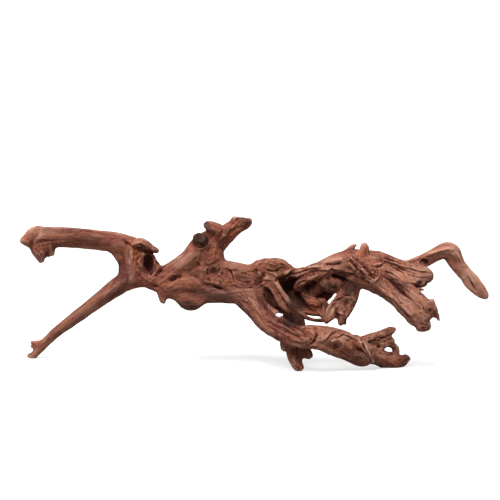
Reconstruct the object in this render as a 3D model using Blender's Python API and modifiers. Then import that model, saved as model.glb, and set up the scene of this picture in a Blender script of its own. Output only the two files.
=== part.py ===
"""A driftwood root: one weathered piece that forks at both ends and stands on three low points.

The stations are read in the front view, in millimetres: x to the right, height upwards and depth away
from the viewer. That view looks slightly down on the piece from VIEW_DISTANCE away, so stand_up() widens
what lies further off and turns everything to the upright frame.
"""

import math

import bmesh
import bpy
import numpy as np
from mathutils import Matrix, Vector
from mathutils.bvhtree import BVHTree

MM = 0.001

# The front view: how far it looks down on the piece, how far it leans in the picture, and from where.
LOOK_DOWN = math.radians(8.0)
LEAN = math.radians(1.2)
VIEW_DISTANCE = 3000.0
VIEW_CENTRE = (250.0, 121.5)
# The front view's point that lies over the origin, and the height there of the surface it stands on.
MIDDLE_X = 254.4
MIDDLE_DEPTH = 20.0
SURFACE = 6.2

# A strand is an oval tube with rings this far apart. Its rim is fluted by lobes of (count, share of the
# flutes).
RING_SIDES = 20
RING_STEP = 2.5
LOBES = ((3, 0.5), (5, 0.35), (7, 0.25))
LOBE_TWIST = 0.02
FLUTES = 0.09
# Where less than this share of a strand's run shows in the front view, it counts as running straight in.
STRAIGHT_IN = 0.2

# The wood is formed as one skin over all strands, swollen a little unevenly, then thinned to flat facets.
SKIN_CELL = 1.4
SKIN_SOFTENING = 3
SWELL_SIZE = 14.0
SWELL_HEIGHT = 1.2
FACET_SHARE = 0.078

# A groove or ridge is found on the skin from outside it, with points this far apart. Its profile is a bell
# curve that is felt out to REACH half widths, and it runs out to END_SHARE of its height at each end.
OUTSIDE = 200.0
LINE_STEP = 1.5
REACH = 2.2
RUN_OUT = 3.0
END_SHARE = 0.45

# The block under the surface that grinds the three feet flat.
GROUND_SIZE = (0.8, 0.4, 0.1)

# Each strand is a run of stations: x, height, depth, half width in the front view, half depth.
STRANDS = {
    "upper_arm": [
        (136, 124, 6, 9.5, 11), (120, 128, 3, 10.8, 10.5), (100, 130.9, -3, 10, 9.5),
        (80, 133, -9, 10.2, 9.5), (60, 134, -15, 10.4, 10), (45, 134.2, -19, 10.4, 11),
        (36.6, 134.4, -21, 11, 12), (29.4, 131.6, -22, 8.8, 11), (23.6, 130.8, -22.5, 4.8, 8),
        (20, 131, -22.5, 1.8, 5),
    ],
    "arm_end_spur": [
        (38, 131, -21, 9, 11), (38.8, 124, -21.5, 9.2, 9.5), (40.2, 117, -22, 6.6, 7.5),
        (41.8, 108.4, -22, 2.6, 3.6),
    ],
    "arm_end_knob": [(46, 130, -19, 8, 10), (49, 122, -19, 6.6, 8.5), (50.6, 115, -19, 4, 5)],
    "lower_arm": [
        (136, 93.6, 6, 9, 12), (120, 87.2, 9, 9.6, 10), (105, 76.2, 12, 8, 8), (90, 65.1, 16, 7.1, 7),
        (75, 53.6, 20, 6.3, 6.4), (55, 38.3, 25, 5.3, 5.4), (43, 26.6, 28, 4.9, 5),
        (35.6, 18.2, 29.5, 4, 4.6), (30.4, 12.2, 30, 3, 3.6),
    ],
    "arm_web": [(110, 123, 0, 4, 7), (116, 119, 3, 5, 8), (121, 112, 5, 5, 8)],
    "tip_twig_upper": [(40, 28.5, 28, 3.2, 3), (35, 28.9, 28, 2.3, 2.3), (30, 29.8, 28, 1.7, 1.7)],
    "tip_twig_lower": [(38, 26.5, 29, 3, 2.6), (33.5, 25, 29, 1.9, 1.9), (29.6, 24.6, 29, 1.6, 1.6)],
    "tip_heel": [(34, 18, 30, 3.2, 3), (30, 16.4, 30, 2.6, 2.6), (26.6, 15.4, 30, 1.9, 2)],
    "knuckle": [
        (123, 127, 6, 11, 10), (130.4, 117, 7, 13, 12), (131.6, 105, 8, 12.6, 13),
        (131, 95, 8, 12.2, 13), (131, 87, 8, 8, 10),
    ],
    "knuckle_cup": [
        (140, 122, 8, 8, 12), (145, 112, 9, 8.5, 12), (148, 102, 9, 9, 12), (150, 92, 8, 9, 11),
    ],
    "knuckle_flap": [
        (127, 126, 2, 4, 5), (134, 129.3, -2, 3.6, 6), (143, 128.8, -4, 3.8, 8), (150, 124, -3, 3.6, 8),
        (155.5, 121, 0, 3, 6), (159, 120.5, 1, 1.8, 3),
    ],
    "knuckle_rim": [
        (150.5, 116, 2, 2.4, 4), (155, 109.5, 0, 2.8, 4), (158, 103, 0, 3, 4), (154, 95, 2, 3.5, 4),
    ],
    "neck": [(134, 91, 8, 8, 11), (145, 92, 8, 8, 10), (155, 90.8, 8, 10.8, 11), (166, 90, 7, 14, 13)],
    "body": [
        (160, 90, 7, 13, 12), (170, 90, 6, 18, 16), (184, 90, 6, 21, 18), (200, 89.5, 7, 22, 19),
        (218, 89.5, 8, 22, 19), (238, 87.5, 8, 21, 18), (254, 84, 6, 19, 17),
    ],
    "body_ridge": [
        (162, 96.5, 4, 8, 11), (178, 103, 2, 10, 13), (190, 112, 1, 10.3, 14),
        (200, 121.5, 2, 12.6, 14), (208, 130, 4, 11.6, 13),
    ],
    "belly": [
        (172, 82, 4, 5.5, 10), (182, 74.5, 2, 8, 12), (191, 70.2, 1, 9.8, 12), (202, 74, 3, 7.5, 12),
        (214, 78.5, 5, 7.5, 12),
    ],
    "spike": [(164, 85, 3, 8.4, 8), (162.8, 77, 2, 6, 6), (163, 67.8, 2, 2.2, 3)],
    "antler_base": [
        (204, 100, 6, 21, 17), (205.6, 112, 6, 20, 16), (207.6, 121, 6, 17.6, 15),
        (210.6, 129, 6, 13.8, 13), (216, 135, 6, 10.6, 11),
    ],
    "hollow_stub": [
        (203, 124, -3, 8, 9), (200.6, 130, -7, 8.2, 8), (199.4, 134, -10, 7.4, 7),
        (198.8, 138, -11, 4.8, 5),
    ],
    "left_antler": [
        (224, 135.6, 4, 8.6, 8.6), (215.4, 142, -1, 7, 7), (208.6, 145.8, -5, 5.2, 5.6),
        (204.8, 148, -7, 3, 3.6),
    ],
    "right_antler": [
        (215.6, 128.6, 9, 12, 11), (225, 136.4, 12, 10, 9), (232, 142, 16, 8.8, 8),
        (238.5, 146.6, 19, 8, 7), (246, 148.4, 21, 6.2, 5.4), (251.8, 151.2, 22, 2.8, 3),
    ],
    "antler_bump": [(234, 146, 16, 6.4, 5.6), (235.2, 151.6, 16, 5, 4.6), (235.8, 155.2, 16, 2.8, 3)],
    "valley": [
        (219, 104, 6, 8, 12), (232, 101.6, 5, 8.8, 12), (244, 98.2, 5, 8.8, 11), (256, 97, 5, 8.4, 11),
    ],
    "burl": [
        (250, 99, 5, 7, 11), (260, 103, 2, 8.6, 12), (270, 104.4, 0, 8.8, 12), (280, 104, 0, 8.6, 11),
        (287.4, 101, 2, 6.4, 9), (295, 98.4, 5, 4.8, 7),
    ],
    "burl_tip": [(280, 107, 2, 4, 5), (282, 112.8, 2, 1.8, 3)],
    "burl_front": [(259, 97, -8, 6, 6), (266, 96, -11, 8, 6), (274, 93, -12, 7, 5), (279, 92, -11, 4, 4)],
    "beam": [
        (256, 92, 6, 14, 15), (268, 96, 5, 11, 14), (282, 97.5, 4, 7.5, 13), (298, 97.8, 4, 5, 13),
        (318, 103.6, 4, 6.2, 14), (336, 108.2, 4, 10.2, 15), (352, 107.4, 5, 15.4, 16),
        (366, 102, 6, 18, 17),
    ],
    "back_wall": [
        (262, 84, 15, 10, 7), (276, 82, 19, 17, 8), (288, 84, 21, 18, 8), (300, 84, 22, 19, 9),
        (316, 84, 23, 19, 9), (332, 91, 22, 13, 8), (352, 92, 18, 14, 9),
    ],
    "back_curtain": [(268, 76, 14, 8, 5), (276, 68, 10, 9, 5), (284, 64, 7, 9, 5), (292, 58, 4, 9, 6)],
    "brace_thin": [
        (268, 94, -13, 4, 4), (275.4, 88.6, -17, 3, 3.4), (282, 79.6, -20, 2.6, 3.2),
        (288, 71, -21, 2.5, 3.2), (295, 63.4, -20, 2.6, 3.2), (303, 56.2, -17, 2.6, 3),
        (310, 52.4, -13, 2.4, 2.8), (318, 51, -10, 2.3, 2.6), (326, 51.6, -8, 2.4, 2.6),
    ],
    "brace_wide": [
        (264, 90, -9, 6, 5), (272, 80.6, -13, 5.4, 5), (278, 72, -14, 5, 4.5),
        (284.6, 64.4, -14, 4.4, 4), (290, 59.8, -13, 3.2, 3), (293.6, 57.6, -12, 1.6, 2),
    ],
    "lower_limb": [
        (236, 86, 3, 15, 14), (250, 74, -3, 14.8, 14), (259, 63.6, -8, 13.4, 13),
        (268, 52.6, -13, 13, 12.5), (279, 43.2, -18, 11.6, 12), (290, 37.6, -22, 11.2, 11.5),
        (300, 34.6, -24, 11, 11.5), (311, 34.4, -23, 11.6, 12), (322, 33.8, -19, 12.8, 12.5),
        (333, 31, -14, 13.8, 13), (343, 27.2, -9, 14, 13), (353, 22.6, -3, 13.4, 12.5),
        (362, 17.8, 3, 12.8, 12), (369, 16, 8, 10.4, 11),
    ],
    "limb_crest": [
        (284, 50, -12, 3, 5), (296, 43.6, -17, 3, 5), (310, 43.4, -17, 3.4, 5),
        (326, 42.6, -14, 3.4, 5),
    ],
    "limb_step": [
        (300, 26.4, -27, 3, 4), (312, 25.4, -28, 3.4, 4), (322, 24.2, -25, 3.6, 4),
        (332, 18.6, -19, 3.8, 4),
    ],
    "twist_band": [
        (356, 35, -2, 2.8, 4), (361, 29, -9, 3.6, 4.4), (367, 19, -8, 3.8, 5), (372, 9.5, -1, 3, 5),
    ],
    "jaw": [
        (364, 18, 6, 10, 10), (376, 15, 12, 8.4, 9.5), (386, 11.7, 19, 8.8, 9), (396, 9.9, 23, 8, 8.5),
        (402.6, 11.2, 24, 6, 6.5), (406.6, 13.6, 24, 4.6, 4.6), (408.6, 15.2, 24, 3, 3),
    ],
    "upper_prong": [
        (362, 26, 4, 9, 9), (373, 31, 9, 7.7, 7), (381, 34.8, 12, 6.2, 5.5), (388, 38.8, 14, 5.2, 4.5),
        (393, 41.8, 15, 3.7, 3), (396.8, 42.6, 15, 2, 2),
    ],
    "palate": [
        (368, 23, 7, 7, 8), (378, 26, 12, 6, 6), (386, 29, 14, 4, 5), (391, 31, 15, 3, 4),
        (395, 31, 15, 1.8, 2.5),
    ],
    "ragged_strip": [
        (386, 29.6, 14, 3.4, 4), (392, 26.4, 15, 3.4, 3.4), (395.6, 22.8, 17, 3.6, 3.2),
        (396.6, 18.6, 18, 3.2, 3), (396.4, 13.6, 19, 3, 3.4),
    ],
    "leg": [
        (294, 82, 16, 9, 8), (295, 70, 13, 10, 8), (294, 55, 5, 11, 8), (295, 40, -4, 11, 8),
        (295, 27, -8, 10.8, 8), (295, 16, -10, 8, 7), (297.2, 8, -11, 6, 6),
        (300.4, 1.4, -12, 4.2, 5.5),
    ],
    "leg_toe": [(299, 4.4, -12, 4, 5), (302.4, 3.6, -12, 3.2, 4), (304, 5.4, -12, 1.4, 2.4)],
    "leg_claw": [(302, 22.5, -7, 6.4, 6), (307.4, 17.4, -7, 5.4, 4.8), (311.4, 13.6, -7, 2.8, 2.8)],
    "leg_lobe": [(286, 34, -13, 4.6, 5), (284, 26.5, -14, 3.9, 4), (284.6, 20.3, -14, 2.4, 2.6)],
    "hanger_left": [
        (352, 84, 3, 8, 8), (341.2, 71, -5, 7.4, 5.5), (334, 61.6, -9, 7.6, 5), (329, 54, -10, 4.8, 4),
        (327, 48.6, -10, 2, 2.4), (326.8, 46.8, -10, 1, 1.4),
    ],
    "hanger_right": [
        (354.6, 86, 3, 6.8, 8), (351, 74, -3, 7.2, 6), (346, 64.6, -6, 7.6, 5),
        (342.4, 56, -8, 6.4, 4.5), (341, 49.6, -8, 4, 3.5), (340.8, 45.4, -8, 1.6, 2),
    ],
    "hanger_barb": [(344, 54, -7, 3, 3), (345, 46.6, -7, 1.8, 2)],
    "right_limb": [
        (352, 105.4, 4, 14.6, 16), (367, 100.6, 5, 18.2, 17), (382, 91, 2, 15.8, 16),
        (397, 80.6, -3, 14.4, 15), (411, 68.6, -9, 15.6, 13.5), (421, 58, -12, 15.2, 11.5),
        (427, 50.6, -14, 12.2, 8.5),
    ],
    "end_finger": [
        (427, 69, -13, 8, 8), (432.2, 62.4, -13, 5.8, 6), (436, 57, -13, 3.6, 4.4),
        (438.2, 52.6, -13, 1.9, 2.6), (440, 49.6, -13, 1.2, 1.8),
    ],
    "end_lip": [(419.4, 48.4, -13, 9.4, 9), (426, 45.8, -13, 6.4, 7), (431, 46.8, -13, 3.2, 4)],
    "top_ridge": [
        (330, 106.8, 5, 8, 11), (344, 108.6, 5, 10, 13), (360, 111.4, 6, 10, 13),
        (375, 111.2, 8, 10, 13), (390, 106.4, 11, 9.4, 13), (402, 101.8, 13, 9.3, 12),
        (413, 99, 14, 9.3, 11), (424, 97, 14, 8.6, 9), (430, 96, 14, 6.6, 7), (433.6, 96.2, 14, 3, 4),
    ],
    "wing_lobe": [
        (410, 92, 10, 6.4, 8), (419, 89.5, 9, 6.4, 6.5), (424.4, 88.3, 9, 4.2, 4.5),
        (427.8, 88, 9, 2, 2.5),
    ],
    "tiny_twig": [(416, 82, 3, 3.4, 3.4), (421.6, 82.3, 3, 2, 2), (424.6, 80.8, 3, 1.4, 1.4)],
    "far_branch": [
        (398, 102, 13, 7, 8), (412, 106.8, 17, 6.2, 7), (425, 111.6, 22, 7, 6),
        (434.4, 116.6, 26, 7, 6), (443.6, 120.6, 29, 8.4, 6), (450.2, 120.2, 31, 9.6, 6),
        (454.4, 113.6, 33, 9, 5.6), (459.2, 105, 34, 7.6, 5), (465.6, 97.4, 35, 7.4, 5.2),
        (472.4, 89.4, 36, 8.4, 5.4), (479, 82, 37, 7.2, 5), (484.4, 76.2, 38, 4.9, 4),
        (486.8, 72.6, 38, 2.4, 2.6),
    ],
    "twig_hooked": [
        (346.5, 116, 1, 6, 6), (350.6, 121.6, -1, 4, 4.4), (353.6, 125.4, -2, 2.6, 2.8),
        (356.2, 126.6, -2, 1.5, 1.6), (357.4, 125.8, -2, 1, 1.2),
    ],
    "twig_blunt": [
        (356, 111, -6, 6, 6), (361, 115, -5, 6, 6), (364, 121, -4, 5.2, 5.2), (364.6, 126, -4, 4, 4.2),
        (364.6, 129, -4, 2.4, 2.6),
    ],
    "gnarl": [(350, 113, -9, 6, 6), (357, 107, -12, 7, 6), (366, 101, -13, 8, 6), (375, 97, -12, 6, 6)],
    "whorl": [
        (369, 93, -12, 4, 4), (375, 90, -13, 4.4, 4), (380, 95, -12, 4, 4), (377, 101, -10, 3.6, 4),
    ],
    "back_root": [
        (176, 92, 16, 9, 7), (205, 97, 24, 10, 9), (238, 92, 27, 9, 8), (270, 94, 23, 8, 7),
        (305, 97, 24, 8, 8), (345, 103, 22, 9, 8), (380, 95, 20, 8, 7),
    ],
    "back_stub": [
        (222, 92, 26, 10, 10), (228, 94, 37, 8.4, 8.4), (233, 97, 48, 6.4, 6.4),
        (235, 98, 57, 5.2, 5.2),
    ],
    "back_spur": [(352, 96, 18, 9, 9), (360, 92, 30, 7, 7), (366, 87, 40, 5, 5), (369, 84, 47, 2.6, 2.6)],
}

# Each hollow is cut out of the wood: the same columns.
HOLLOWS = {
    "knuckle_cavity": [
        (149, 117, -16, 4.4, 6), (148, 110, -4, 6.2, 12), (148.6, 102, -1, 5.6, 10),
        (150.5, 97, -3, 2, 6),
    ],
    "neck_pit": [(148, 86, -4, 1.6, 3), (152, 85.5, -3, 2.4, 5), (157, 84.6, -4, 2.8, 5)],
    "stub_socket": [
        (199.9, 134.8, -20, 6.4, 6), (200.6, 133, -11, 5.8, 5.4), (202, 130.5, -6, 3.6, 3.6),
    ],
    "knot_hole": [(214, 101.6, -14, 4.6, 5), (214, 101.6, -7, 3, 3)],
    "shoulder_pit": [
        (263, 84, -20, 3, 5), (268, 77, -15, 4.8, 8), (273, 68, -11, 5.4, 9), (277, 62, -9, 4.4, 8),
    ],
    "cavity_left": [
        (281, 91, -9, 4.6, 9), (286, 84, -5, 6, 11), (293, 74, -4, 6, 9), (300, 65, -5, 4.4, 6),
    ],
    "cavity_middle": [
        (288, 91, -5, 4.6, 11), (300, 88, -4, 6.4, 12), (312, 86, -7, 7, 10), (325, 88, -9, 6.4, 8),
    ],
    "cavity_right": [(330, 92, -12, 5, 7), (341, 91, -9, 6.6, 8), (348, 89, -4, 4, 6)],
    "end_notch": [(430.8, 51.4, -13, 2, 18), (434.4, 48, -13, 3.2, 20), (439.4, 43.6, -13, 3.8, 20)],
    "wing_hole": [(418.8, 90, 0, 3, 3), (419.3, 90, 10, 2.2, 2.2)],
    "jaw_window": [(388.6, 22, -6, 3.4, 2.8), (388.6, 22, 34, 3.2, 2.6)],
    "arch_gap": [(279, 56.6, -26, 4.8, 1.9), (279, 56.6, 45, 4.8, 1.9)],
    "back_hollow": [(300, 106, 38, 5, 6), (318, 104, 38, 7, 8), (336, 104, 36, 5, 6)],
    "limb_hollow": [(372, 80, 26, 5, 6), (384, 84, 24, 6, 7), (398, 76, 18, 5, 6), (408, 66, 8, 3, 4)],
}

# What stands inside the hollows: the same columns.
INNER = {
    "inner_strip": [
        (331, 99, -1, 3, 5), (324, 98, -4, 4, 6), (316, 96.6, -4, 4.8, 6), (308, 94, -3, 5.2, 6),
        (300.6, 89, -1, 5, 6), (296.6, 82, 3, 4.6, 5),
    ],
    "inner_mass": [
        (318, 92, 3, 6, 6), (326, 88, 0, 8, 8), (334, 86, 0, 8.4, 8), (341, 85, 3, 7.4, 7),
        (349, 84, 8, 6, 6),
    ],
    "inner_sheet": [(298, 84, 6, 5, 5), (304, 79, 5, 5.4, 5), (311, 79, 5, 5.6, 5), (318, 82, 6, 6, 5)],
    "inner_knob": [
        (302, 78, 5, 4, 5), (308, 72.6, 1, 4.8, 5.5), (313.4, 67.8, -2, 5.6, 6), (319, 66.6, 0, 5, 5),
    ],
    "inner_plate": [
        (316, 68, 3, 5, 5), (322.4, 68.6, 2, 4.8, 4.5), (326.6, 66.6, 2, 3, 3.4), (329.4, 65, 2, 1.4, 2),
    ],
    "inner_curtain": [
        (317, 70, 3, 6, 4.5), (319.6, 62, 1, 6, 4.5), (323, 56.4, -2, 4, 3.6), (325.6, 53.4, -3, 2.6, 3),
    ],
    "inner_fill": [(300, 68, 8, 7, 5), (310, 65, 6, 6.5, 5), (319, 61, 4, 6, 5), (325, 58, 2, 4, 4)],
}

# Each groove or ridge is worked into the skin's face, front or back: its side, half width, height (below
# zero for a groove) and the points of its line in the front view.
RELIEF = {
    "arm_end_seam": ("front", 2.2, -1.6, [(39, 146), (33, 138), (29.5, 131), (31, 122)]),
    "arm_under_groove": ("front", 2, -0.8, [(34, 127), (44, 130), (60, 130.5)]),
    "arm_long_ridge": ("front", 3, 1, [(60, 139), (85, 137), (110, 133.5)]),
    "lip_slit": ("front", 1.8, -2.6, [(124, 131), (127, 128), (130, 126)]),
    "lip_wrinkle": ("front", 2, 1.6, [(133, 126), (131, 120), (132, 113), (130, 109)]),
    "cup_edge": ("front", 2.2, 1.8, [(133, 127), (140, 126), (143, 118), (142, 108), (145, 100)]),
    "neck_slit": ("front", 1.6, -4.5, [(156, 96), (160, 101), (164, 105.5)]),
    "eye_groove": ("front", 2.8, -4.4, [(166, 88.5), (170, 91.5), (175, 93.6), (181, 95.5)]),
    "snout_ridge": ("front", 4, 1.6, [(160, 92), (168, 99), (182, 106), (192, 116)]),
    "arch_groove": ("front", 3, -3.8, [(184, 93), (190, 96.4), (197, 96.5), (202, 91), (207, 85)]),
    "arch_ridge": ("front", 3, 1.8, [(180, 100), (190, 102), (200, 102), (206, 95)]),
    "cheek_ridge": ("front", 3, 1.4, [(168, 86), (184, 89), (197, 85), (212, 80), (235, 79), (255, 78)]),
    "belly_groove": ("front", 3, -1.4, [(168, 76), (180, 82), (196, 77), (210, 73)]),
    "burl_slot": ("front", 2.4, -4, [(209, 88), (215, 84.5), (225, 81)]),
    "horseshoe": ("front", 2, -2, [(197, 113), (200, 107.5), (210, 106), (218, 110)]),
    "trunk_groove": ("front", 2.6, -2.4, [(226, 117), (219, 128), (214, 134), (209, 140)]),
    "prong_groove": ("front", 2.4, -2.2, [(222, 138), (230, 139), (238, 144)]),
    "trough": ("front", 4.4, -5, [(229, 101), (236, 96), (245, 91), (255, 88.5), (260, 93)]),
    "trough_leaf": ("front", 3.4, 2, [(237, 97.5), (244, 94.5), (251, 93)]),
    "trough_upper": ("front", 2, -2, [(233, 101), (243, 99), (252, 97), (258, 93)]),
    "burl_slit": ("front", 2, -2.6, [(264, 102), (271, 101.4), (277, 101.6)]),
    "burl_crack": ("front", 1.8, -3, [(261, 101), (263, 96), (260, 91)]),
    "seam_upper": ("front", 1.8, -4, [(276, 92.6), (288, 96.4), (298, 99)]),
    "seam_lower": ("front", 1.8, -3.4, [(284, 93), (296, 98), (306, 101)]),
    "shoulder_groove": ("front", 3, -3, [(258, 80), (262, 70), (270, 58), (280, 50)]),
    "limb_groove": ("front", 2.2, -2, [(268, 50), (282, 41), (296, 36), (306, 34)]),
    "limb_furrow": ("front", 2.4, -2.4, [(280, 51), (292, 46), (304, 40), (312, 31)]),
    "limb_pit": ("front", 3.6, -4.6, [(335, 26), (338, 23.6)]),
    "limb_crack": ("front", 2, -2.2, [(316, 44), (318, 36), (314, 29)]),
    "limb_hollow_front": ("front", 3.2, -2.6, [(350, 30), (356, 26), (359, 20)]),
    "twist_crack": ("front", 1.8, -3.4, [(358, 24), (365, 17), (370, 9)]),
    "jaw_pit_left": ("front", 3, -4, [(370, 29), (373, 27.5)]),
    "jaw_pit_right": ("front", 2, -3.4, [(378, 25.4), (380, 24.6)]),
    "prong_groove_right": ("front", 2, -2, [(376, 31), (385, 33), (392, 37)]),
    "shell_ridge": ("front", 3, 2.2, [(318, 103), (335, 100), (350, 93), (362, 88)]),
    "shell_groove": ("front", 2.4, -2.6, [(320, 108), (333, 106), (346, 109)]),
    "gnarl_groove_left": ("front", 2, -3, [(346, 113), (354, 106), (362, 96), (366, 90)]),
    "gnarl_groove_right": ("front", 2, -2.6, [(353, 115), (361, 108), (369, 100), (372, 94)]),
    "whorl_pit": ("front", 2.4, -2.6, [(373, 95), (376, 97.5)]),
    "wing_crack": ("front", 2, -4.6, [(384, 102), (392, 99.5), (400, 94), (405, 90)]),
    "wing_upper_crack": ("front", 1.8, -3, [(372, 112), (386, 110), (398, 104), (410, 100)]),
    "limb_trench": ("front", 3.4, -4, [(384, 95), (393, 87), (402, 79), (409, 71)]),
    "limb_side_ridge": ("front", 3, 2, [(378, 85), (392, 76), (406, 63), (416, 50)]),
    "limb_under_groove": ("front", 2.4, -2.6, [(394, 72), (404, 61), (412, 51)]),
    "limb_fibre": ("front", 2, -2, [(404, 76), (414, 66), (422, 58)]),
    "socket": ("front", 3.4, -3.6, [(423, 111.4), (427, 109)]),
    "branch_ridge": ("front", 2.6, 1.8, [(425, 115), (440, 120), (450, 121), (457, 115), (462, 106)]),
    "branch_groove": ("front", 2.4, -2.4, [(469, 94), (474, 86), (480, 79)]),
    "hanger_fold": ("front", 1.8, -2.4, [(334, 66), (338, 59), (337, 50)]),
    "hanger_pit": ("front", 3, -2.4, [(347, 70), (351, 67)]),
    "leg_groove": ("front", 2.4, -2.4, [(296, 24), (298, 14), (301, 8)]),
    "back_arm_groove": ("back", 2.6, -2, [(40, 132), (70, 135), (100, 132), (122, 124)]),
    "back_knuckle_groove": ("back", 3, -3, [(124, 118), (132, 106), (146, 96), (162, 90)]),
    "back_belly_groove": ("back", 3.4, -3.4, [(170, 84), (190, 82), (212, 78), (236, 76)]),
    "back_body_groove": ("back", 3, -3.4, [(178, 101), (196, 108), (208, 120), (212, 134)]),
    "back_trunk_groove": ("back", 2.6, -2.6, [(220, 112), (222, 124), (230, 138)]),
    "back_beam_groove": ("back", 3, -3.4, [(246, 100), (270, 103), (292, 99), (320, 93)]),
    "back_limb_groove": ("back", 2.6, -2.6, [(262, 66), (280, 46), (300, 36), (326, 32), (350, 26)]),
    "back_right_groove": ("back", 3, -3.2, [(352, 112), (372, 106), (390, 94), (406, 78)]),
    "back_right_lower": ("back", 2.6, -2.6, [(372, 92), (390, 80), (408, 62), (418, 52)]),
    "back_branch_groove": ("back", 2.2, -2, [(420, 110), (438, 118), (452, 120), (464, 100), (478, 84)]),
    "back_leg_groove": ("back", 2.4, -2.6, [(296, 60), (296, 40), (298, 20)]),
}


def stand_up(points):
    """Turns points of the front view, in millimetres, to the upright frame, in metres."""
    lean = Matrix.Rotation(-LEAN, 3, "Y")
    look = Matrix.Rotation(-LOOK_DOWN, 3, "X")
    turn = np.array(look @ lean)
    points = np.array(points, float)
    centre = np.array(VIEW_CENTRE)
    points[:, [0, 2]] += (points[:, [0, 2]] - centre) * points[:, 1:2] / VIEW_DISTANCE
    moved = (points - (MIDDLE_X, MIDDLE_DEPTH, 0)) @ turn.T
    moved[:, 2] -= SURFACE
    return moved * MM


def smooth_run(stations):
    """The stations joined by a Catmull-Rom curve, with a ring every RING_STEP."""
    rows = np.array([(x, depth, height, w, d) for x, height, depth, w, d in stations], float)
    ends = np.vstack([2 * rows[0] - rows[1], rows, 2 * rows[-1] - rows[-2]])
    run = []
    for a, b, c, d in zip(ends, ends[1:], ends[2:], ends[3:]):
        rings = max(2, math.ceil(np.linalg.norm((c - b)[:3]) / RING_STEP))
        for t in np.linspace(0, 1, rings, endpoint=False):
            square = (2 * a - 5 * b + 4 * c - d) * t**2
            cube = (3 * (b - c) + d - a) * t**3
            run.append(0.5 * (2 * b + (c - a) * t + square + cube))
    run.append(rows[-1])
    return np.array(run)


def rings_of(stations, seed):
    """Rings of points round the run: ovals whose rim is fluted, with the flutes winding slowly along it."""
    rng = np.random.default_rng(seed)
    run = smooth_run(stations)
    centre, half_width, half_depth = run[:, :3], run[:, 3], run[:, 4]
    along = np.gradient(centre, axis=0)
    along /= np.linalg.norm(along, axis=1, keepdims=True)
    across = np.stack([-along[:, 2], np.zeros(len(run)), along[:, 0]], axis=1)
    across[np.hypot(along[:, 0], along[:, 2]) < STRAIGHT_IN] = (1, 0, 0)
    across /= np.linalg.norm(across, axis=1, keepdims=True)
    inward = np.cross(along, across)
    inward /= np.linalg.norm(inward, axis=1, keepdims=True)
    length = np.r_[0, np.cumsum(np.linalg.norm(np.diff(centre, axis=0), axis=1))]
    angle = np.linspace(0, 2 * math.pi, RING_SIDES, endpoint=False)
    rim = np.ones((len(run), RING_SIDES))
    for lobes, share in LOBES:
        phase = rng.uniform(0, 2 * math.pi) + rng.uniform(-LOBE_TWIST, LOBE_TWIST) * length
        rim += FLUTES * share * np.cos(lobes * angle + phase[:, None])
    wide = (half_width[:, None] * rim * np.cos(angle))[:, :, None] * across[:, None, :]
    deep = (half_depth[:, None] * rim * np.sin(angle))[:, :, None] * inward[:, None, :]
    return centre[:, None, :] + wide + deep


def add_strand(shape, stations, seed):
    """Lofts one strand into the bmesh, closed by a fan at each end."""
    rings = rings_of(stations, seed)
    count = len(rings)
    points = stand_up(rings.reshape(-1, 3))
    verts = [shape.verts.new(p) for p in points]
    faces = []
    for i in range(count - 1):
        for j in range(RING_SIDES):
            k = (j + 1) % RING_SIDES
            row, after = i * RING_SIDES, (i + 1) * RING_SIDES
            corners = (row + j, row + k, after + k, after + j)
            faces.append(shape.faces.new([verts[corner] for corner in corners]))
    for row in (0, (count - 1) * RING_SIDES):
        ring = verts[row : row + RING_SIDES]
        hub = shape.verts.new(sum((v.co for v in ring), Vector()) / RING_SIDES)
        for j in range(RING_SIDES):
            faces.append(shape.faces.new((ring[j], ring[(j + 1) % RING_SIDES], hub)))
    bmesh.ops.recalc_face_normals(shape, faces=faces)


def mesh_of(name, strands):
    """One object that holds all these strands, which still cross each other."""
    shape = bmesh.new()
    for number, stations in enumerate(strands.values()):
        add_strand(shape, stations, number)
    mesh = bpy.data.meshes.new(name)
    shape.to_mesh(mesh)
    shape.free()
    return bpy.data.objects.new(name, mesh)


def add_skin(obj, rounds):
    """A closed skin of even cells over the object, with its joins softened."""
    skin = obj.modifiers.new("skin", "REMESH")
    skin.mode = "VOXEL"
    skin.voxel_size = SKIN_CELL * MM
    if rounds:
        soften = obj.modifiers.new("soften", "SMOOTH")
        soften.factor = 0.5
        soften.iterations = rounds


def add_boolean(obj, other, operation):
    made = obj.modifiers.new(other.name, "BOOLEAN")
    made.operation = operation
    made.solver = "EXACT"
    made.object = other


def line_on_skin(tree, side, points):
    """The line's points, spaced LINE_STEP apart, where they first meet the skin from that side."""
    way = 1 if side == "front" else -1
    found = []
    for (x0, height0), (x1, height1) in zip(points, points[1:]):
        steps = max(1, math.ceil(math.hypot(x1 - x0, height1 - height0) / LINE_STEP))
        for t in np.linspace(0, 1, steps + 1):
            x, height = x0 + t * (x1 - x0), height0 + t * (height1 - height0)
            start, end = stand_up([(x, -way * OUTSIDE, height), (x, way * OUTSIDE, height)])
            hit = tree.ray_cast(Vector(start), Vector(end - start))[0]
            if hit:
                found.append(hit)
    return np.array(found)


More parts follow.
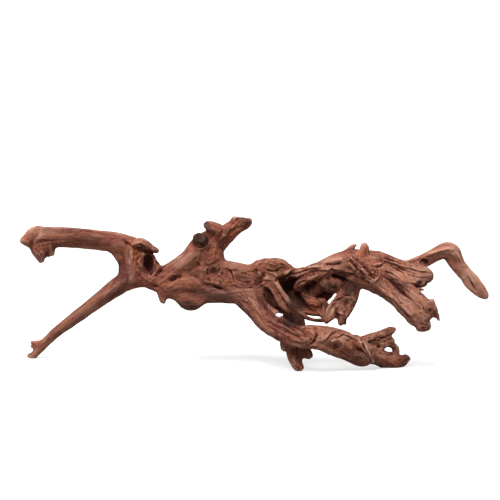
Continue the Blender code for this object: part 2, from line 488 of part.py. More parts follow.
def work_relief(mesh, relief):
    """Moves the skin's points along their normals, in under a groove and out over a ridge."""
    count = len(mesh.vertices)
    points = np.empty(count * 3, np.float32)
    normals = np.empty(count * 3, np.float32)
    mesh.vertices.foreach_get("co", points)
    mesh.vertex_normals.foreach_get("vector", normals)
    points = points.reshape(-1, 3).astype(float)
    normals = normals.reshape(-1, 3)
    tree = BVHTree.FromPolygons(points.tolist(), [tuple(face.vertices) for face in mesh.polygons])
    move = np.zeros(count)
    for side, half_width, height, line in relief.values():
        path = line_on_skin(tree, side, line)
        reach = REACH * half_width * MM
        near = np.flatnonzero(((points > path.min(0) - reach) & (points < path.max(0) + reach)).all(axis=1))
        away = np.linalg.norm(points[near, None] - path[None], axis=2).min(axis=1) / (half_width * MM)
        ends = np.linalg.norm(points[near, None] - path[None, [0, -1]], axis=2).min(axis=1)
        taper = np.clip(ends / (RUN_OUT * half_width * MM), END_SHARE, 1)
        move[near] += height * MM * taper * np.exp(-(away**2))
    points += normals * move[:, None]
    mesh.vertices.foreach_set("co", points.ravel())
    mesh.update()


def clear_scene():
    for obj in list(bpy.data.objects):
        bpy.data.objects.remove(obj)


def new_collection(name):
    group = bpy.data.collections.new(name)
    bpy.context.scene.collection.children.link(group)
    return group


def wood_material():
    wood = bpy.data.materials.new("driftwood")
    wood.use_nodes = True
    shader = wood.node_tree.nodes["Principled BSDF"]
    shader.inputs["Base Color"].default_value = (0.21, 0.09, 0.055, 1)
    shader.inputs["Roughness"].default_value = 0.75
    shader.inputs["Metallic"].default_value = 0.0
    return wood


def add_cutter(group, obj):
    group.objects.link(obj)
    obj.hide_render = True
    obj.display_type = "WIRE"
    return obj


def ground_block():
    """A block whose top is the surface that the piece stands on."""
    width, depth, thickness = GROUND_SIZE
    block = bmesh.new()
    bmesh.ops.create_cube(block, size=1, matrix=Matrix.Diagonal((width, depth, thickness, 1)))
    bmesh.ops.translate(block, verts=block.verts, vec=(0, 0, -thickness / 2))
    mesh = bpy.data.meshes.new("ground")
    block.to_mesh(mesh)
    block.free()
    return bpy.data.objects.new("ground", mesh)


def formed_skin(group, hollows, inner):
    """The mesh of the strands' common skin: hollowed, filled, swollen unevenly, worked with its relief."""
    rough = mesh_of("rough", STRANDS)
    group.objects.link(rough)
    add_skin(rough, SKIN_SOFTENING)
    add_boolean(rough, hollows, "DIFFERENCE")
    add_boolean(rough, inner, "UNION")
    add_skin(rough, 1)
    swell = rough.modifiers.new("swell", "DISPLACE")
    swell.texture = bpy.data.textures.new("swell", "CLOUDS")
    swell.texture.noise_scale = SWELL_SIZE * MM
    swell.texture_coords = "LOCAL"
    swell.strength = SWELL_HEIGHT * MM
    swell.mid_level = 0.5
    skin = bpy.data.meshes.new_from_object(rough.evaluated_get(bpy.context.evaluated_depsgraph_get()))
    bpy.data.objects.remove(rough)
    work_relief(skin, RELIEF)
    return skin


def main():
    clear_scene()
    model = new_collection("driftwood root")
    cutters = new_collection("cutters")
    hollows = add_cutter(cutters, mesh_of("hollows", HOLLOWS))
    inner = add_cutter(cutters, mesh_of("inner", INNER))
    for obj in (hollows, inner):
        add_skin(obj, 1)
    ground = add_cutter(cutters, ground_block())

    root = bpy.data.objects.new("driftwood_root", formed_skin(model, hollows, inner))
    root.data.materials.append(wood_material())
    model.objects.link(root)
    add_skin(root, 0)
    thin = root.modifiers.new("facets", "DECIMATE")
    thin.ratio = FACET_SHARE
    add_boolean(root, ground, "DIFFERENCE")


main()
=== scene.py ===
import math

import bmesh
import bpy
import numpy as np
from mathutils import Matrix, Vector
from mathutils.bvhtree import BVHTree


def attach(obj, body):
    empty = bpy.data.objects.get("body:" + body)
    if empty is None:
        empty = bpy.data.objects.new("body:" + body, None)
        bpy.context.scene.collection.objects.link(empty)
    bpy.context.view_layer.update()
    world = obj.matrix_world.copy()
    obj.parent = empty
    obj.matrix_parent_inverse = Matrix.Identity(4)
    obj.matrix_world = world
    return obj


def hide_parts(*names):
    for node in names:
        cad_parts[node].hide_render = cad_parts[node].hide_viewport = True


# The driftwood root's looks: its skin with fibres, splits and pits, its weathered colours with some painted
# shade and highlights, and the studio.
# Stations are read in the front view, in millimetres: x to the right, height upwards, depth away from the
# viewer. stand_up() turns them to the upright frame.
MM = 0.001

# The front view: how far it looks down on the piece, how far it leans in the picture, and from where.
LOOK_DOWN = math.radians(8.0)
LEAN = math.radians(1.2)
VIEW_DISTANCE = 3000.0
VIEW_CENTRE = (250.0, 121.5)
VIEW_WIDTH = 500.0
SENSOR_WIDTH = 36.0
# The front view's point that lies over the origin, and the height there of the surface it stands on.
MIDDLE_X = 254.4
MIDDLE_DEPTH = 20.0
SURFACE = 6.2

# A strand is an oval tube with rings this far apart. Its rim is fluted by lobes: count, share of the flutes.
RING_SIDES = 20
RING_STEP = 2.5
LOBES = ((3, 0.5), (5, 0.35), (7, 0.25))
LOBE_TWIST = 0.02
FLUTES = 0.09
# Where less than this share of a strand's run shows in the front view, it counts as running straight in.
STRAIGHT_IN = 0.2

# The wood is formed as one coarse skin over all strands, hollowed, then given fine cells to be worked in.
COARSE_CELL = 1.4
COARSE_SOFTENING = 3
FINE_CELL = 0.65
FINE_SOFTENING = 4
SWELL_SIZE = 14.0
SWELL_HEIGHT = 1.2
MOST_TRIANGLES = 190000

# A groove or ridge is found on the skin from outside it, with points this far apart. Its profile is a bell
# curve that is felt out to REACH half widths, and it runs out to END_SHARE of its height at each end.
OUTSIDE = 200.0
LINE_STEP = 1.5
REACH = 2.2
RUN_OUT = 3.0
END_SHARE = 0.45
# A groove this deep is as dark as one gets, and a wider one than this is fainter.
FULL_TONE = 2.5
WIDE_TONE = 2.0
# A ledge's height beside a ridge's, how sharply it falls off at its line, and how fast it fades behind it.
LEDGE_SHARE = 1.3
LEDGE_EDGE = 2.5
LEDGE_FADE = 0.8
# Each round of softening draws a point this far towards its neighbours' mean. Joins take the first number of
# rounds, and the second spreads where they are.
PULL = 0.6
JOIN_ROUNDS = 60
JOIN_SPREAD = 6

# Two strands share the grain where both are near: the larger this is, the narrower the band they share.
GRAIN_SHARPNESS = 7.0
GRAIN_TWIST = 0.008
GRAIN_SEED = 3
# How far apart in their patterns two strands' grain may start, and how many points are placed at a time.
GRAIN_APART = 1000
BATCH = 20000
# The columns of a ring in the grain: its place, its two cross directions, radius, length along, strand.
PLACE, ACROSS, INWARD = slice(0, 3), slice(3, 6), slice(6, 9)
RADIUS, LENGTH, STRAND = 9, 10, 11
# What the skin notes of its grain: its place in the two nearest strands, and the share of the second.
GRAIN_NOTES = ("grain_a", "grain_b", "grain_mix")

# Each strand is a run of stations: x, height, depth, half width in the front view, half depth.
STRANDS = {
    "upper_arm": [
        (136, 124, 6, 9.5, 11), (120, 128, 3, 10.8, 10.5), (100, 130.9, -3, 10, 9.5),
        (80, 133, -9, 10.2, 9.5), (60, 134, -15, 10.4, 10), (45, 134.2, -19, 10.4, 11),
        (36.6, 134.4, -21, 11, 12), (29.4, 131.6, -22, 8.8, 11), (23.6, 130.8, -22.5, 4.8, 8),
        (20, 131, -22.5, 1.8, 5),
    ],
    "arm_end_spur": [
        (38, 131, -21, 9, 11), (38.8, 124, -21.5, 9.2, 9.5), (40.2, 117, -22, 6.6, 7.5),
        (41.8, 108.4, -22, 2.6, 3.6),
    ],
    "arm_end_knob": [(46, 130, -19, 8, 10), (49, 122, -19, 6.6, 8.5), (50.6, 115, -19, 4, 5)],
    "lower_arm": [
        (136, 93.6, 6, 9, 12), (120, 87.2, 9, 9.6, 10), (105, 76.2, 12, 8, 8), (90, 65.1, 16, 7.1, 7),
        (75, 53.6, 20, 6.3, 6.4), (55, 38.3, 25, 5.3, 5.4), (43, 26.6, 28, 4.9, 5),
        (35.6, 18.2, 29.5, 4, 4.6), (30.4, 12.2, 30, 3, 3.6),
    ],
    "arm_web": [(110, 123, 0, 4, 7), (116, 119, 3, 5, 8), (121, 112, 5, 5, 8)],
    "tip_twig_upper": [(40, 28.5, 28, 3.2, 3), (35, 28.9, 28, 2.3, 2.3), (30, 29.8, 28, 1.7, 1.7)],
    "tip_twig_lower": [(38, 26.5, 29, 3, 2.6), (33.5, 25, 29, 1.9, 1.9), (29.6, 24.6, 29, 1.6, 1.6)],
    "tip_heel": [(34, 18, 30, 3.2, 3), (30, 16.4, 30, 2.6, 2.6), (26.6, 15.4, 30, 1.9, 2)],
    "knuckle": [
        (123, 127, 6, 11, 10), (130.4, 117, 7, 13, 12), (131.6, 105, 8, 12.6, 13), (131, 95, 8, 12.2, 13),
        (131, 87, 8, 8, 10),
    ],
    "knuckle_cup": [(140, 122, 8, 8, 12), (145, 112, 9, 8.5, 12), (148, 102, 9, 9, 12), (150, 92, 8, 9, 11)],
    "knuckle_flap": [
        (127, 126, 2, 4, 5), (134, 129.3, -2, 3.6, 6), (143, 128.8, -4, 3.8, 8), (150, 124, -3, 3.6, 8),
        (155.5, 121, 0, 3, 6), (159, 120.5, 1, 1.8, 3),
    ],
    "knuckle_rim": [
        (150.5, 116, 2, 2.4, 4), (155, 109.5, 0, 2.8, 4), (158, 103, 0, 3, 4), (154, 95, 2, 3.5, 4),
    ],
    "neck": [(134, 91, 8, 8, 11), (145, 92, 8, 8, 10), (155, 90.8, 8, 10.8, 11), (166, 90, 7, 14, 13)],
    "body": [
        (160, 90, 7, 13, 12), (170, 90, 6, 18, 16), (184, 90, 6, 21, 18), (200, 89.5, 7, 22, 19),
        (218, 89.5, 8, 22, 19), (238, 87.5, 8, 21, 18), (254, 84, 6, 19, 17),
    ],
    "body_ridge": [
        (162, 96.5, 4, 8, 11), (178, 103, 2, 10, 13), (190, 112, 1, 10.3, 14), (200, 121.5, 2, 12.6, 14),
        (208, 130, 4, 11.6, 13),
    ],
    "belly": [
        (172, 82, 4, 5.5, 10), (182, 74.5, 2, 8, 12), (191, 70.2, 1, 9.8, 12), (202, 74, 3, 7.5, 12),
        (214, 78.5, 5, 7.5, 12),
    ],
    "spike": [(164, 85, 3, 8.4, 8), (162.8, 77, 2, 6, 6), (163, 67.8, 2, 2.2, 3)],
    "antler_base": [
        (204, 100, 6, 21, 17), (205.6, 112, 6, 20, 16), (207.6, 121, 6, 17.6, 15), (210.6, 129, 6, 13.8, 13),
        (216, 135, 6, 10.6, 11),
    ],
    "hollow_stub": [
        (203, 124, -3, 8, 9), (200.6, 130, -7, 8.2, 8), (199.4, 134, -10, 7.4, 7), (198.8, 138, -11, 4.8, 5),
    ],
    "left_antler": [
        (224, 135.6, 4, 8.6, 8.6), (215.4, 142, -1, 7, 7), (208.6, 145.8, -5, 5.2, 5.6),
        (204.8, 148, -7, 3, 3.6),
    ],
    "right_antler": [
        (215.6, 128.6, 9, 12, 11), (225, 136.4, 12, 10, 9), (232, 142, 16, 8.8, 8), (238.5, 146.6, 19, 8, 7),
        (246, 148.4, 21, 6.2, 5.4), (251.8, 151.2, 22, 2.8, 3),
    ],
    "antler_bump": [(234, 146, 16, 6.4, 5.6), (235.2, 151.6, 16, 5, 4.6), (235.8, 155.2, 16, 2.8, 3)],
    "valley": [
        (219, 104, 6, 8, 12), (232, 101.6, 5, 8.8, 12), (244, 98.2, 5, 8.8, 11), (256, 97, 5, 8.4, 11),
    ],
    "burl": [
        (250, 99, 5, 7, 11), (260, 103, 2, 8.6, 12), (270, 104.4, 0, 8.8, 12), (280, 104, 0, 8.6, 11),
        (287.4, 101, 2, 6.4, 9), (295, 98.4, 5, 4.8, 7),
    ],
    "burl_tip": [(280, 107, 2, 4, 5), (282, 112.8, 2, 1.8, 3)],
    "burl_front": [(259, 97, -8, 6, 6), (266, 96, -11, 8, 6), (274, 93, -12, 7, 5), (279, 92, -11, 4, 4)],
    "beam": [
        (256, 92, 6, 14, 15), (268, 96, 5, 11, 14), (282, 97.5, 4, 7.5, 13), (298, 97.8, 4, 5, 13),
        (318, 103.6, 4, 6.2, 14), (336, 108.2, 4, 10.2, 15), (352, 107.4, 5, 15.4, 16),
        (366, 102, 6, 18, 17),
    ],
    "back_wall": [
        (262, 84, 15, 10, 7), (276, 82, 19, 17, 8), (288, 84, 21, 18, 8), (300, 84, 22, 19, 9),
        (316, 84, 23, 19, 9), (332, 91, 22, 13, 8), (352, 92, 18, 14, 9),
    ],
    "back_curtain": [(268, 76, 14, 8, 5), (276, 68, 10, 9, 5), (284, 64, 7, 9, 5), (292, 58, 4, 9, 6)],
    "brace_thin": [
        (268, 94, -13, 4, 4), (275.4, 88.6, -17, 3, 3.4), (282, 79.6, -20, 2.6, 3.2),
        (288, 71, -21, 2.5, 3.2), (295, 63.4, -20, 2.6, 3.2), (303, 56.2, -17, 2.6, 3),
        (310, 52.4, -13, 2.4, 2.8), (318, 51, -10, 2.3, 2.6), (326, 51.6, -8, 2.4, 2.6),
    ],
    "brace_wide": [
        (264, 90, -9, 6, 5), (272, 80.6, -13, 5.4, 5), (278, 72, -14, 5, 4.5), (284.6, 64.4, -14, 4.4, 4),
        (290, 59.8, -13, 3.2, 3), (293.6, 57.6, -12, 1.6, 2),
    ],
    "lower_limb": [
        (236, 86, 3, 15, 14), (250, 74, -3, 14.8, 14), (259, 63.6, -8, 13.4, 13), (268, 52.6, -13, 13, 12.5),
        (279, 43.2, -18, 11.6, 12), (290, 37.6, -22, 11.2, 11.5), (300, 34.6, -24, 11, 11.5),
        (311, 34.4, -23, 11.6, 12), (322, 33.8, -19, 12.8, 12.5), (333, 31, -14, 13.8, 13),
        (343, 27.2, -9, 14, 13), (353, 22.6, -3, 13.4, 12.5), (362, 17.8, 3, 12.8, 12),
        (369, 16, 8, 10.4, 11),
    ],
    "limb_crest": [
        (284, 50, -12, 3, 5), (296, 43.6, -17, 3, 5), (310, 43.4, -17, 3.4, 5), (326, 42.6, -14, 3.4, 5),
    ],
    "limb_step": [
        (300, 26.4, -27, 3, 4), (312, 25.4, -28, 3.4, 4), (322, 24.2, -25, 3.6, 4), (332, 18.6, -19, 3.8, 4),
    ],
    "twist_band": [
        (356, 35, -2, 2.8, 4), (361, 29, -9, 3.6, 4.4), (367, 19, -8, 3.8, 5), (372, 9.5, -1, 3, 5),
    ],
    "jaw": [
        (364, 18, 6, 10, 10), (376, 15, 12, 8.4, 9.5), (386, 11.7, 19, 8.8, 9), (396, 9.9, 23, 8, 8.5),
        (402.6, 11.2, 24, 6, 6.5), (406.6, 13.6, 24, 4.6, 4.6), (408.6, 15.2, 24, 3, 3),
    ],
    "upper_prong": [
        (362, 26, 4, 9, 9), (373, 31, 9, 7.7, 7), (381, 34.8, 12, 6.2, 5.5), (388, 38.8, 14, 5.2, 4.5),
        (393, 41.8, 15, 3.7, 3), (396.8, 42.6, 15, 2, 2),
    ],
    "palate": [
        (368, 23, 7, 7, 8), (378, 26, 12, 6, 6), (386, 29, 14, 4, 5), (391, 31, 15, 3, 4),
        (395, 31, 15, 1.8, 2.5),
    ],
    "ragged_strip": [
        (386, 29.6, 14, 3.4, 4), (392, 26.4, 15, 3.4, 3.4), (395.6, 22.8, 17, 3.6, 3.2),
        (396.6, 18.6, 18, 3.2, 3), (396.4, 13.6, 19, 3, 3.4),
    ],
    "leg": [
        (294, 82, 16, 9, 8), (295, 70, 13, 10, 8), (294, 55, 5, 11, 8), (295, 40, -4, 11, 8),
        (295, 27, -8, 10.8, 8), (295, 16, -10, 8, 7), (297.2, 8, -11, 6, 6), (300.4, 1.4, -12, 4.2, 5.5),
    ],
    "leg_toe": [(299, 4.4, -12, 4, 5), (302.4, 3.6, -12, 3.2, 4), (304, 5.4, -12, 1.4, 2.4)],
    "leg_claw": [(302, 22.5, -7, 6.4, 6), (307.4, 17.4, -7, 5.4, 4.8), (311.4, 13.6, -7, 2.8, 2.8)],
    "leg_lobe": [(286, 34, -13, 4.6, 5), (284, 26.5, -14, 3.9, 4), (284.6, 20.3, -14, 2.4, 2.6)],
    "hanger_left": [
        (352, 84, 3, 8, 8), (341.2, 71, -5, 7.4, 5.5), (334, 61.6, -9, 7.6, 5), (329, 54, -10, 4.8, 4),
        (327, 48.6, -10, 2, 2.4), (326.8, 46.8, -10, 1, 1.4),
    ],
    "hanger_right": [
        (354.6, 86, 3, 6.8, 8), (351, 74, -3, 7.2, 6), (346, 64.6, -6, 7.6, 5), (342.4, 56, -8, 6.4, 4.5),
        (341, 49.6, -8, 4, 3.5), (340.8, 45.4, -8, 1.6, 2),
    ],
    "hanger_barb": [(344, 54, -7, 3, 3), (345, 46.6, -7, 1.8, 2)],
    "right_limb": [
        (352, 105.4, 4, 14.6, 16), (367, 100.6, 5, 18.2, 17), (382, 91, 2, 15.8, 16),
        (397, 80.6, -3, 14.4, 15), (411, 68.6, -9, 15.6, 13.5), (421, 58, -12, 15.2, 11.5),
        (427, 50.6, -14, 12.2, 8.5),
    ],
    "end_finger": [
        (427, 69, -13, 8, 8), (432.2, 62.4, -13, 5.8, 6), (436, 57, -13, 3.6, 4.4),
        (438.2, 52.6, -13, 1.9, 2.6), (440, 49.6, -13, 1.2, 1.8),
    ],
    "end_lip": [(419.4, 48.4, -13, 9.4, 9), (426, 45.8, -13, 6.4, 7), (431, 46.8, -13, 3.2, 4)],
    "top_ridge": [
        (330, 106.8, 5, 8, 11), (344, 108.6, 5, 10, 13), (360, 111.4, 6, 10, 13), (375, 111.2, 8, 10, 13),
        (390, 106.4, 11, 9.4, 13), (402, 101.8, 13, 9.3, 12), (413, 99, 14, 9.3, 11), (424, 97, 14, 8.6, 9),
        (430, 96, 14, 6.6, 7), (433.6, 96.2, 14, 3, 4),
    ],
    "wing_lobe": [
        (410, 92, 10, 6.4, 8), (419, 89.5, 9, 6.4, 6.5), (424.4, 88.3, 9, 4.2, 4.5), (427.8, 88, 9, 2, 2.5),
    ],
    "tiny_twig": [(416, 82, 3, 3.4, 3.4), (421.6, 82.3, 3, 2, 2), (424.6, 80.8, 3, 1.4, 1.4)],
    "far_branch": [
        (398, 102, 13, 7, 8), (412, 106.8, 17, 6.2, 7), (425, 111.6, 22, 7, 6), (434.4, 116.6, 26, 7, 6),
        (443.6, 120.6, 29, 8.4, 6), (450.2, 120.2, 31, 9.6, 6), (454.4, 113.6, 33, 9, 5.6),
        (459.2, 105, 34, 7.6, 5), (465.6, 97.4, 35, 7.4, 5.2), (472.4, 89.4, 36, 8.4, 5.4),
        (479, 82, 37, 7.2, 5), (484.4, 76.2, 38, 4.9, 4), (486.8, 72.6, 38, 2.4, 2.6),
    ],
    "twig_hooked": [
        (346.5, 116, 1, 6, 6), (350.6, 121.6, -1, 4, 4.4), (353.6, 125.4, -2, 2.6, 2.8),
        (356.2, 126.6, -2, 1.5, 1.6), (357.4, 125.8, -2, 1, 1.2),
    ],
    "twig_blunt": [
        (356, 111, -6, 6, 6), (361, 115, -5, 6, 6), (364, 121, -4, 5.2, 5.2), (364.6, 126, -4, 4, 4.2),
        (364.6, 129, -4, 2.4, 2.6),
    ],
    "gnarl": [(350, 113, -9, 6, 6), (357, 107, -12, 7, 6), (366, 101, -13, 8, 6), (375, 97, -12, 6, 6)],
    "whorl": [(369, 93, -12, 4, 4), (375, 90, -13, 4.4, 4), (380, 95, -12, 4, 4), (377, 101, -10, 3.6, 4)],
    "back_root": [
        (176, 92, 16, 9, 7), (205, 97, 24, 10, 9), (238, 92, 27, 9, 8), (270, 94, 23, 8, 7),
        (305, 97, 24, 8, 8), (345, 103, 22, 9, 8), (380, 95, 20, 8, 7),
    ],
    "back_stub": [
        (222, 92, 26, 10, 10), (228, 94, 37, 8.4, 8.4), (233, 97, 48, 6.4, 6.4), (235, 98, 57, 5.2, 5.2),
    ],
    "back_spur": [(352, 96, 18, 9, 9), (360, 92, 30, 7, 7), (366, 87, 40, 5, 5), (369, 84, 47, 2.6, 2.6)],
}

# Each hollow is cut out of the wood: the same columns.
HOLLOWS = {
    "knuckle_cavity": [
        (149, 117, -16, 4.4, 6), (148, 110, -4, 6.2, 12), (148.6, 102, -1, 5.6, 10), (150.5, 97, -3, 2, 6),
    ],
    "neck_pit": [(148, 86, -4, 1.6, 3), (152, 85.5, -3, 2.4, 5), (157, 84.6, -4, 2.8, 5)],
    "stub_socket": [(199.9, 134.8, -20, 6.4, 6), (200.6, 133, -11, 5.8, 5.4), (202, 130.5, -6, 3.6, 3.6)],
    "knot_hole": [(214, 101.6, -14, 4.6, 5), (214, 101.6, -7, 3, 3)],
    "shoulder_pit": [
        (263, 84, -20, 3, 5), (268, 77, -15, 4.8, 8), (273, 68, -11, 5.4, 9), (277, 62, -9, 4.4, 8),
    ],
    "cavity_left": [(281, 91, -9, 4.6, 9), (286, 84, -5, 6, 11), (293, 74, -4, 6, 9), (300, 65, -5, 4.4, 6)],
    "cavity_middle": [
        (288, 91, -5, 4.6, 11), (300, 88, -4, 6.4, 12), (312, 86, -7, 7, 10), (325, 88, -9, 6.4, 8),
    ],
    "cavity_right": [(330, 92, -12, 5, 7), (341, 91, -9, 6.6, 8), (348, 89, -4, 4, 6)],
    "end_notch": [(430.8, 51.4, -13, 2, 18), (434.4, 48, -13, 3.2, 20), (439.4, 43.6, -13, 3.8, 20)],
    "wing_hole": [(418.8, 90, 0, 3, 3), (419.3, 90, 10, 2.2, 2.2)],
    "jaw_window": [(388.6, 22, -6, 3.4, 2.8), (388.6, 22, 34, 3.2, 2.6)],
    "arch_gap": [(279, 56.6, -26, 4.8, 1.9), (279, 56.6, 45, 4.8, 1.9)],
    "back_hollow": [(300, 106, 38, 5, 6), (318, 104, 38, 7, 8), (336, 104, 36, 5, 6)],
    "limb_hollow": [(372, 80, 26, 5, 6), (384, 84, 24, 6, 7), (398, 76, 18, 5, 6), (408, 66, 8, 3, 4)],
}

# What stands inside the hollows: the same columns.
INNER = {
    "inner_strip": [
        (331, 99, -1, 3, 5), (324, 98, -4, 4, 6), (316, 96.6, -4, 4.8, 6), (308, 94, -3, 5.2, 6),
        (300.6, 89, -1, 5, 6), (296.6, 82, 3, 4.6, 5),
    ],
    "inner_mass": [
        (318, 92, 3, 6, 6), (326, 88, 0, 8, 8), (334, 86, 0, 8.4, 8), (341, 85, 3, 7.4, 7),
        (349, 84, 8, 6, 6),
    ],
    "inner_sheet": [(298, 84, 6, 5, 5), (304, 79, 5, 5.4, 5), (311, 79, 5, 5.6, 5), (318, 82, 6, 6, 5)],
    "inner_knob": [
        (302, 78, 5, 4, 5), (308, 72.6, 1, 4.8, 5.5), (313.4, 67.8, -2, 5.6, 6), (319, 66.6, 0, 5, 5),
    ],
    "inner_plate": [
        (316, 68, 3, 5, 5), (322.4, 68.6, 2, 4.8, 4.5), (326.6, 66.6, 2, 3, 3.4), (329.4, 65, 2, 1.4, 2),
    ],
    "inner_curtain": [
        (317, 70, 3, 6, 4.5), (319.6, 62, 1, 6, 4.5), (323, 56.4, -2, 4, 3.6), (325.6, 53.4, -3, 2.6, 3),
    ],
    "inner_fill": [(300, 68, 8, 7, 5), (310, 65, 6, 6.5, 5), (319, 61, 4, 6, 5), (325, 58, 2, 4, 4)],
}

# Each groove or ridge is worked into the skin's face, front or back: its side, half width, height (below
# zero for a groove) and the points of its line in the front view.
RELIEF = {
    "arm_end_seam": ("front", 2.2, -1.6, [(39, 146), (33, 138), (29.5, 131), (31, 122)]),
    "arm_under_groove": ("front", 2, -0.8, [(34, 127), (44, 130), (60, 130.5)]),
    "arm_long_ridge": ("front", 3, 1, [(60, 139), (85, 137), (110, 133.5)]),
    "lip_slit": ("front", 1.8, -2.6, [(124, 131), (127, 128), (130, 126)]),
    "lip_wrinkle": ("front", 2, 1.6, [(133, 126), (131, 120), (132, 113), (130, 109)]),
    "neck_slit": ("front", 1.6, -4.5, [(156, 96), (160, 101), (164, 105.5)]),
    "burl_slit": ("front", 2, -2.6, [(264, 102), (271, 101.4), (277, 101.6)]),
    "burl_crack": ("front", 1.8, -3, [(261, 101), (263, 96), (260, 91)]),
    "seam_upper": ("front", 1.8, -4, [(276, 92.6), (288, 96.4), (298, 99)]),
    "seam_lower": ("front", 1.8, -3.4, [(284, 93), (296, 98), (306, 101)]),
    "shoulder_groove": ("front", 3, -3, [(258, 80), (262, 70), (270, 58), (280, 50)]),
    "limb_groove": ("front", 2.2, -2, [(268, 50), (282, 41), (296, 36), (306, 34)]),
    "limb_furrow": ("front", 2.4, -2.4, [(280, 51), (292, 46), (304, 40), (312, 31)]),
    "limb_pit": ("front", 3.6, -4.6, [(335, 26), (338, 23.6)]),
    "limb_crack": ("front", 2, -2.2, [(316, 44), (318, 36), (314, 29)]),
    "limb_hollow_front": ("front", 3.2, -2.6, [(350, 30), (356, 26), (359, 20)]),
    "twist_crack": ("front", 1.8, -3.4, [(358, 24), (365, 17), (370, 9)]),
    "jaw_pit_left": ("front", 3, -4, [(370, 29), (373, 27.5)]),
    "jaw_pit_right": ("front", 2, -3.4, [(378, 25.4), (380, 24.6)]),
    "prong_groove_right": ("front", 2, -2, [(376, 31), (385, 33), (392, 37)]),
    "shell_ridge": ("front", 3, 2.2, [(318, 103), (335, 100), (350, 93), (362, 88)]),
    "shell_groove": ("front", 2.4, -2.6, [(320, 108), (333, 106), (346, 109)]),
    "gnarl_groove_left": ("front", 2, -3, [(346, 113), (354, 106), (362, 96), (366, 90)]),
    "gnarl_groove_right": ("front", 2, -2.6, [(353, 115), (361, 108), (369, 100), (372, 94)]),
    "whorl_pit": ("front", 2.4, -2.6, [(373, 95), (376, 97.5)]),
    "limb_side_ridge": ("front", 3, 2, [(378, 85), (392, 76), (406, 63), (416, 50)]),
    "socket": ("front", 3.4, -3.6, [(423, 111.4), (427, 109)]),
    "branch_ridge": ("front", 2.6, 1.8, [(425, 115), (440, 120), (450, 121), (457, 115), (462, 106)]),
    "hanger_fold": ("front", 1.8, -2.4, [(334, 66), (338, 59), (337, 50)]),
    "hanger_pit": ("front", 3, -2.4, [(347, 70), (351, 67)]),
    "leg_groove": ("front", 2.4, -2.4, [(296, 24), (298, 14), (301, 8)]),
    "back_arm_groove": ("back", 2.6, -2, [(40, 132), (70, 135), (100, 132), (122, 124)]),
    "back_knuckle_groove": ("back", 3, -3, [(124, 118), (132, 106), (146, 96), (162, 90)]),
    "back_belly_groove": ("back", 3.4, -3.4, [(170, 84), (190, 82), (212, 78), (236, 76)]),
    "back_body_groove": ("back", 3, -3.4, [(178, 101), (196, 108), (208, 120), (212, 134)]),
    "back_trunk_groove": ("back", 2.6, -2.6, [(220, 112), (222, 124), (230, 138)]),
    "back_beam_groove": ("back", 3, -3.4, [(246, 100), (270, 103), (292, 99), (320, 93)]),
    "back_limb_groove": ("back", 2.6, -2.6, [(262, 66), (280, 46), (300, 36), (326, 32), (350, 26)]),
    "back_right_groove": ("back", 3, -3.2, [(352, 112), (372, 106), (390, 94), (406, 78)]),
    "back_right_lower": ("back", 2.6, -2.6, [(372, 92), (390, 80), (408, 62), (418, 52)]),
    "back_branch_groove": ("back", 2.2, -2, [(420, 110), (438, 118), (452, 120), (464, 100), (478, 84)]),
    "back_leg_groove": ("back", 2.4, -2.6, [(296, 60), (296, 40), (298, 20)]),
}

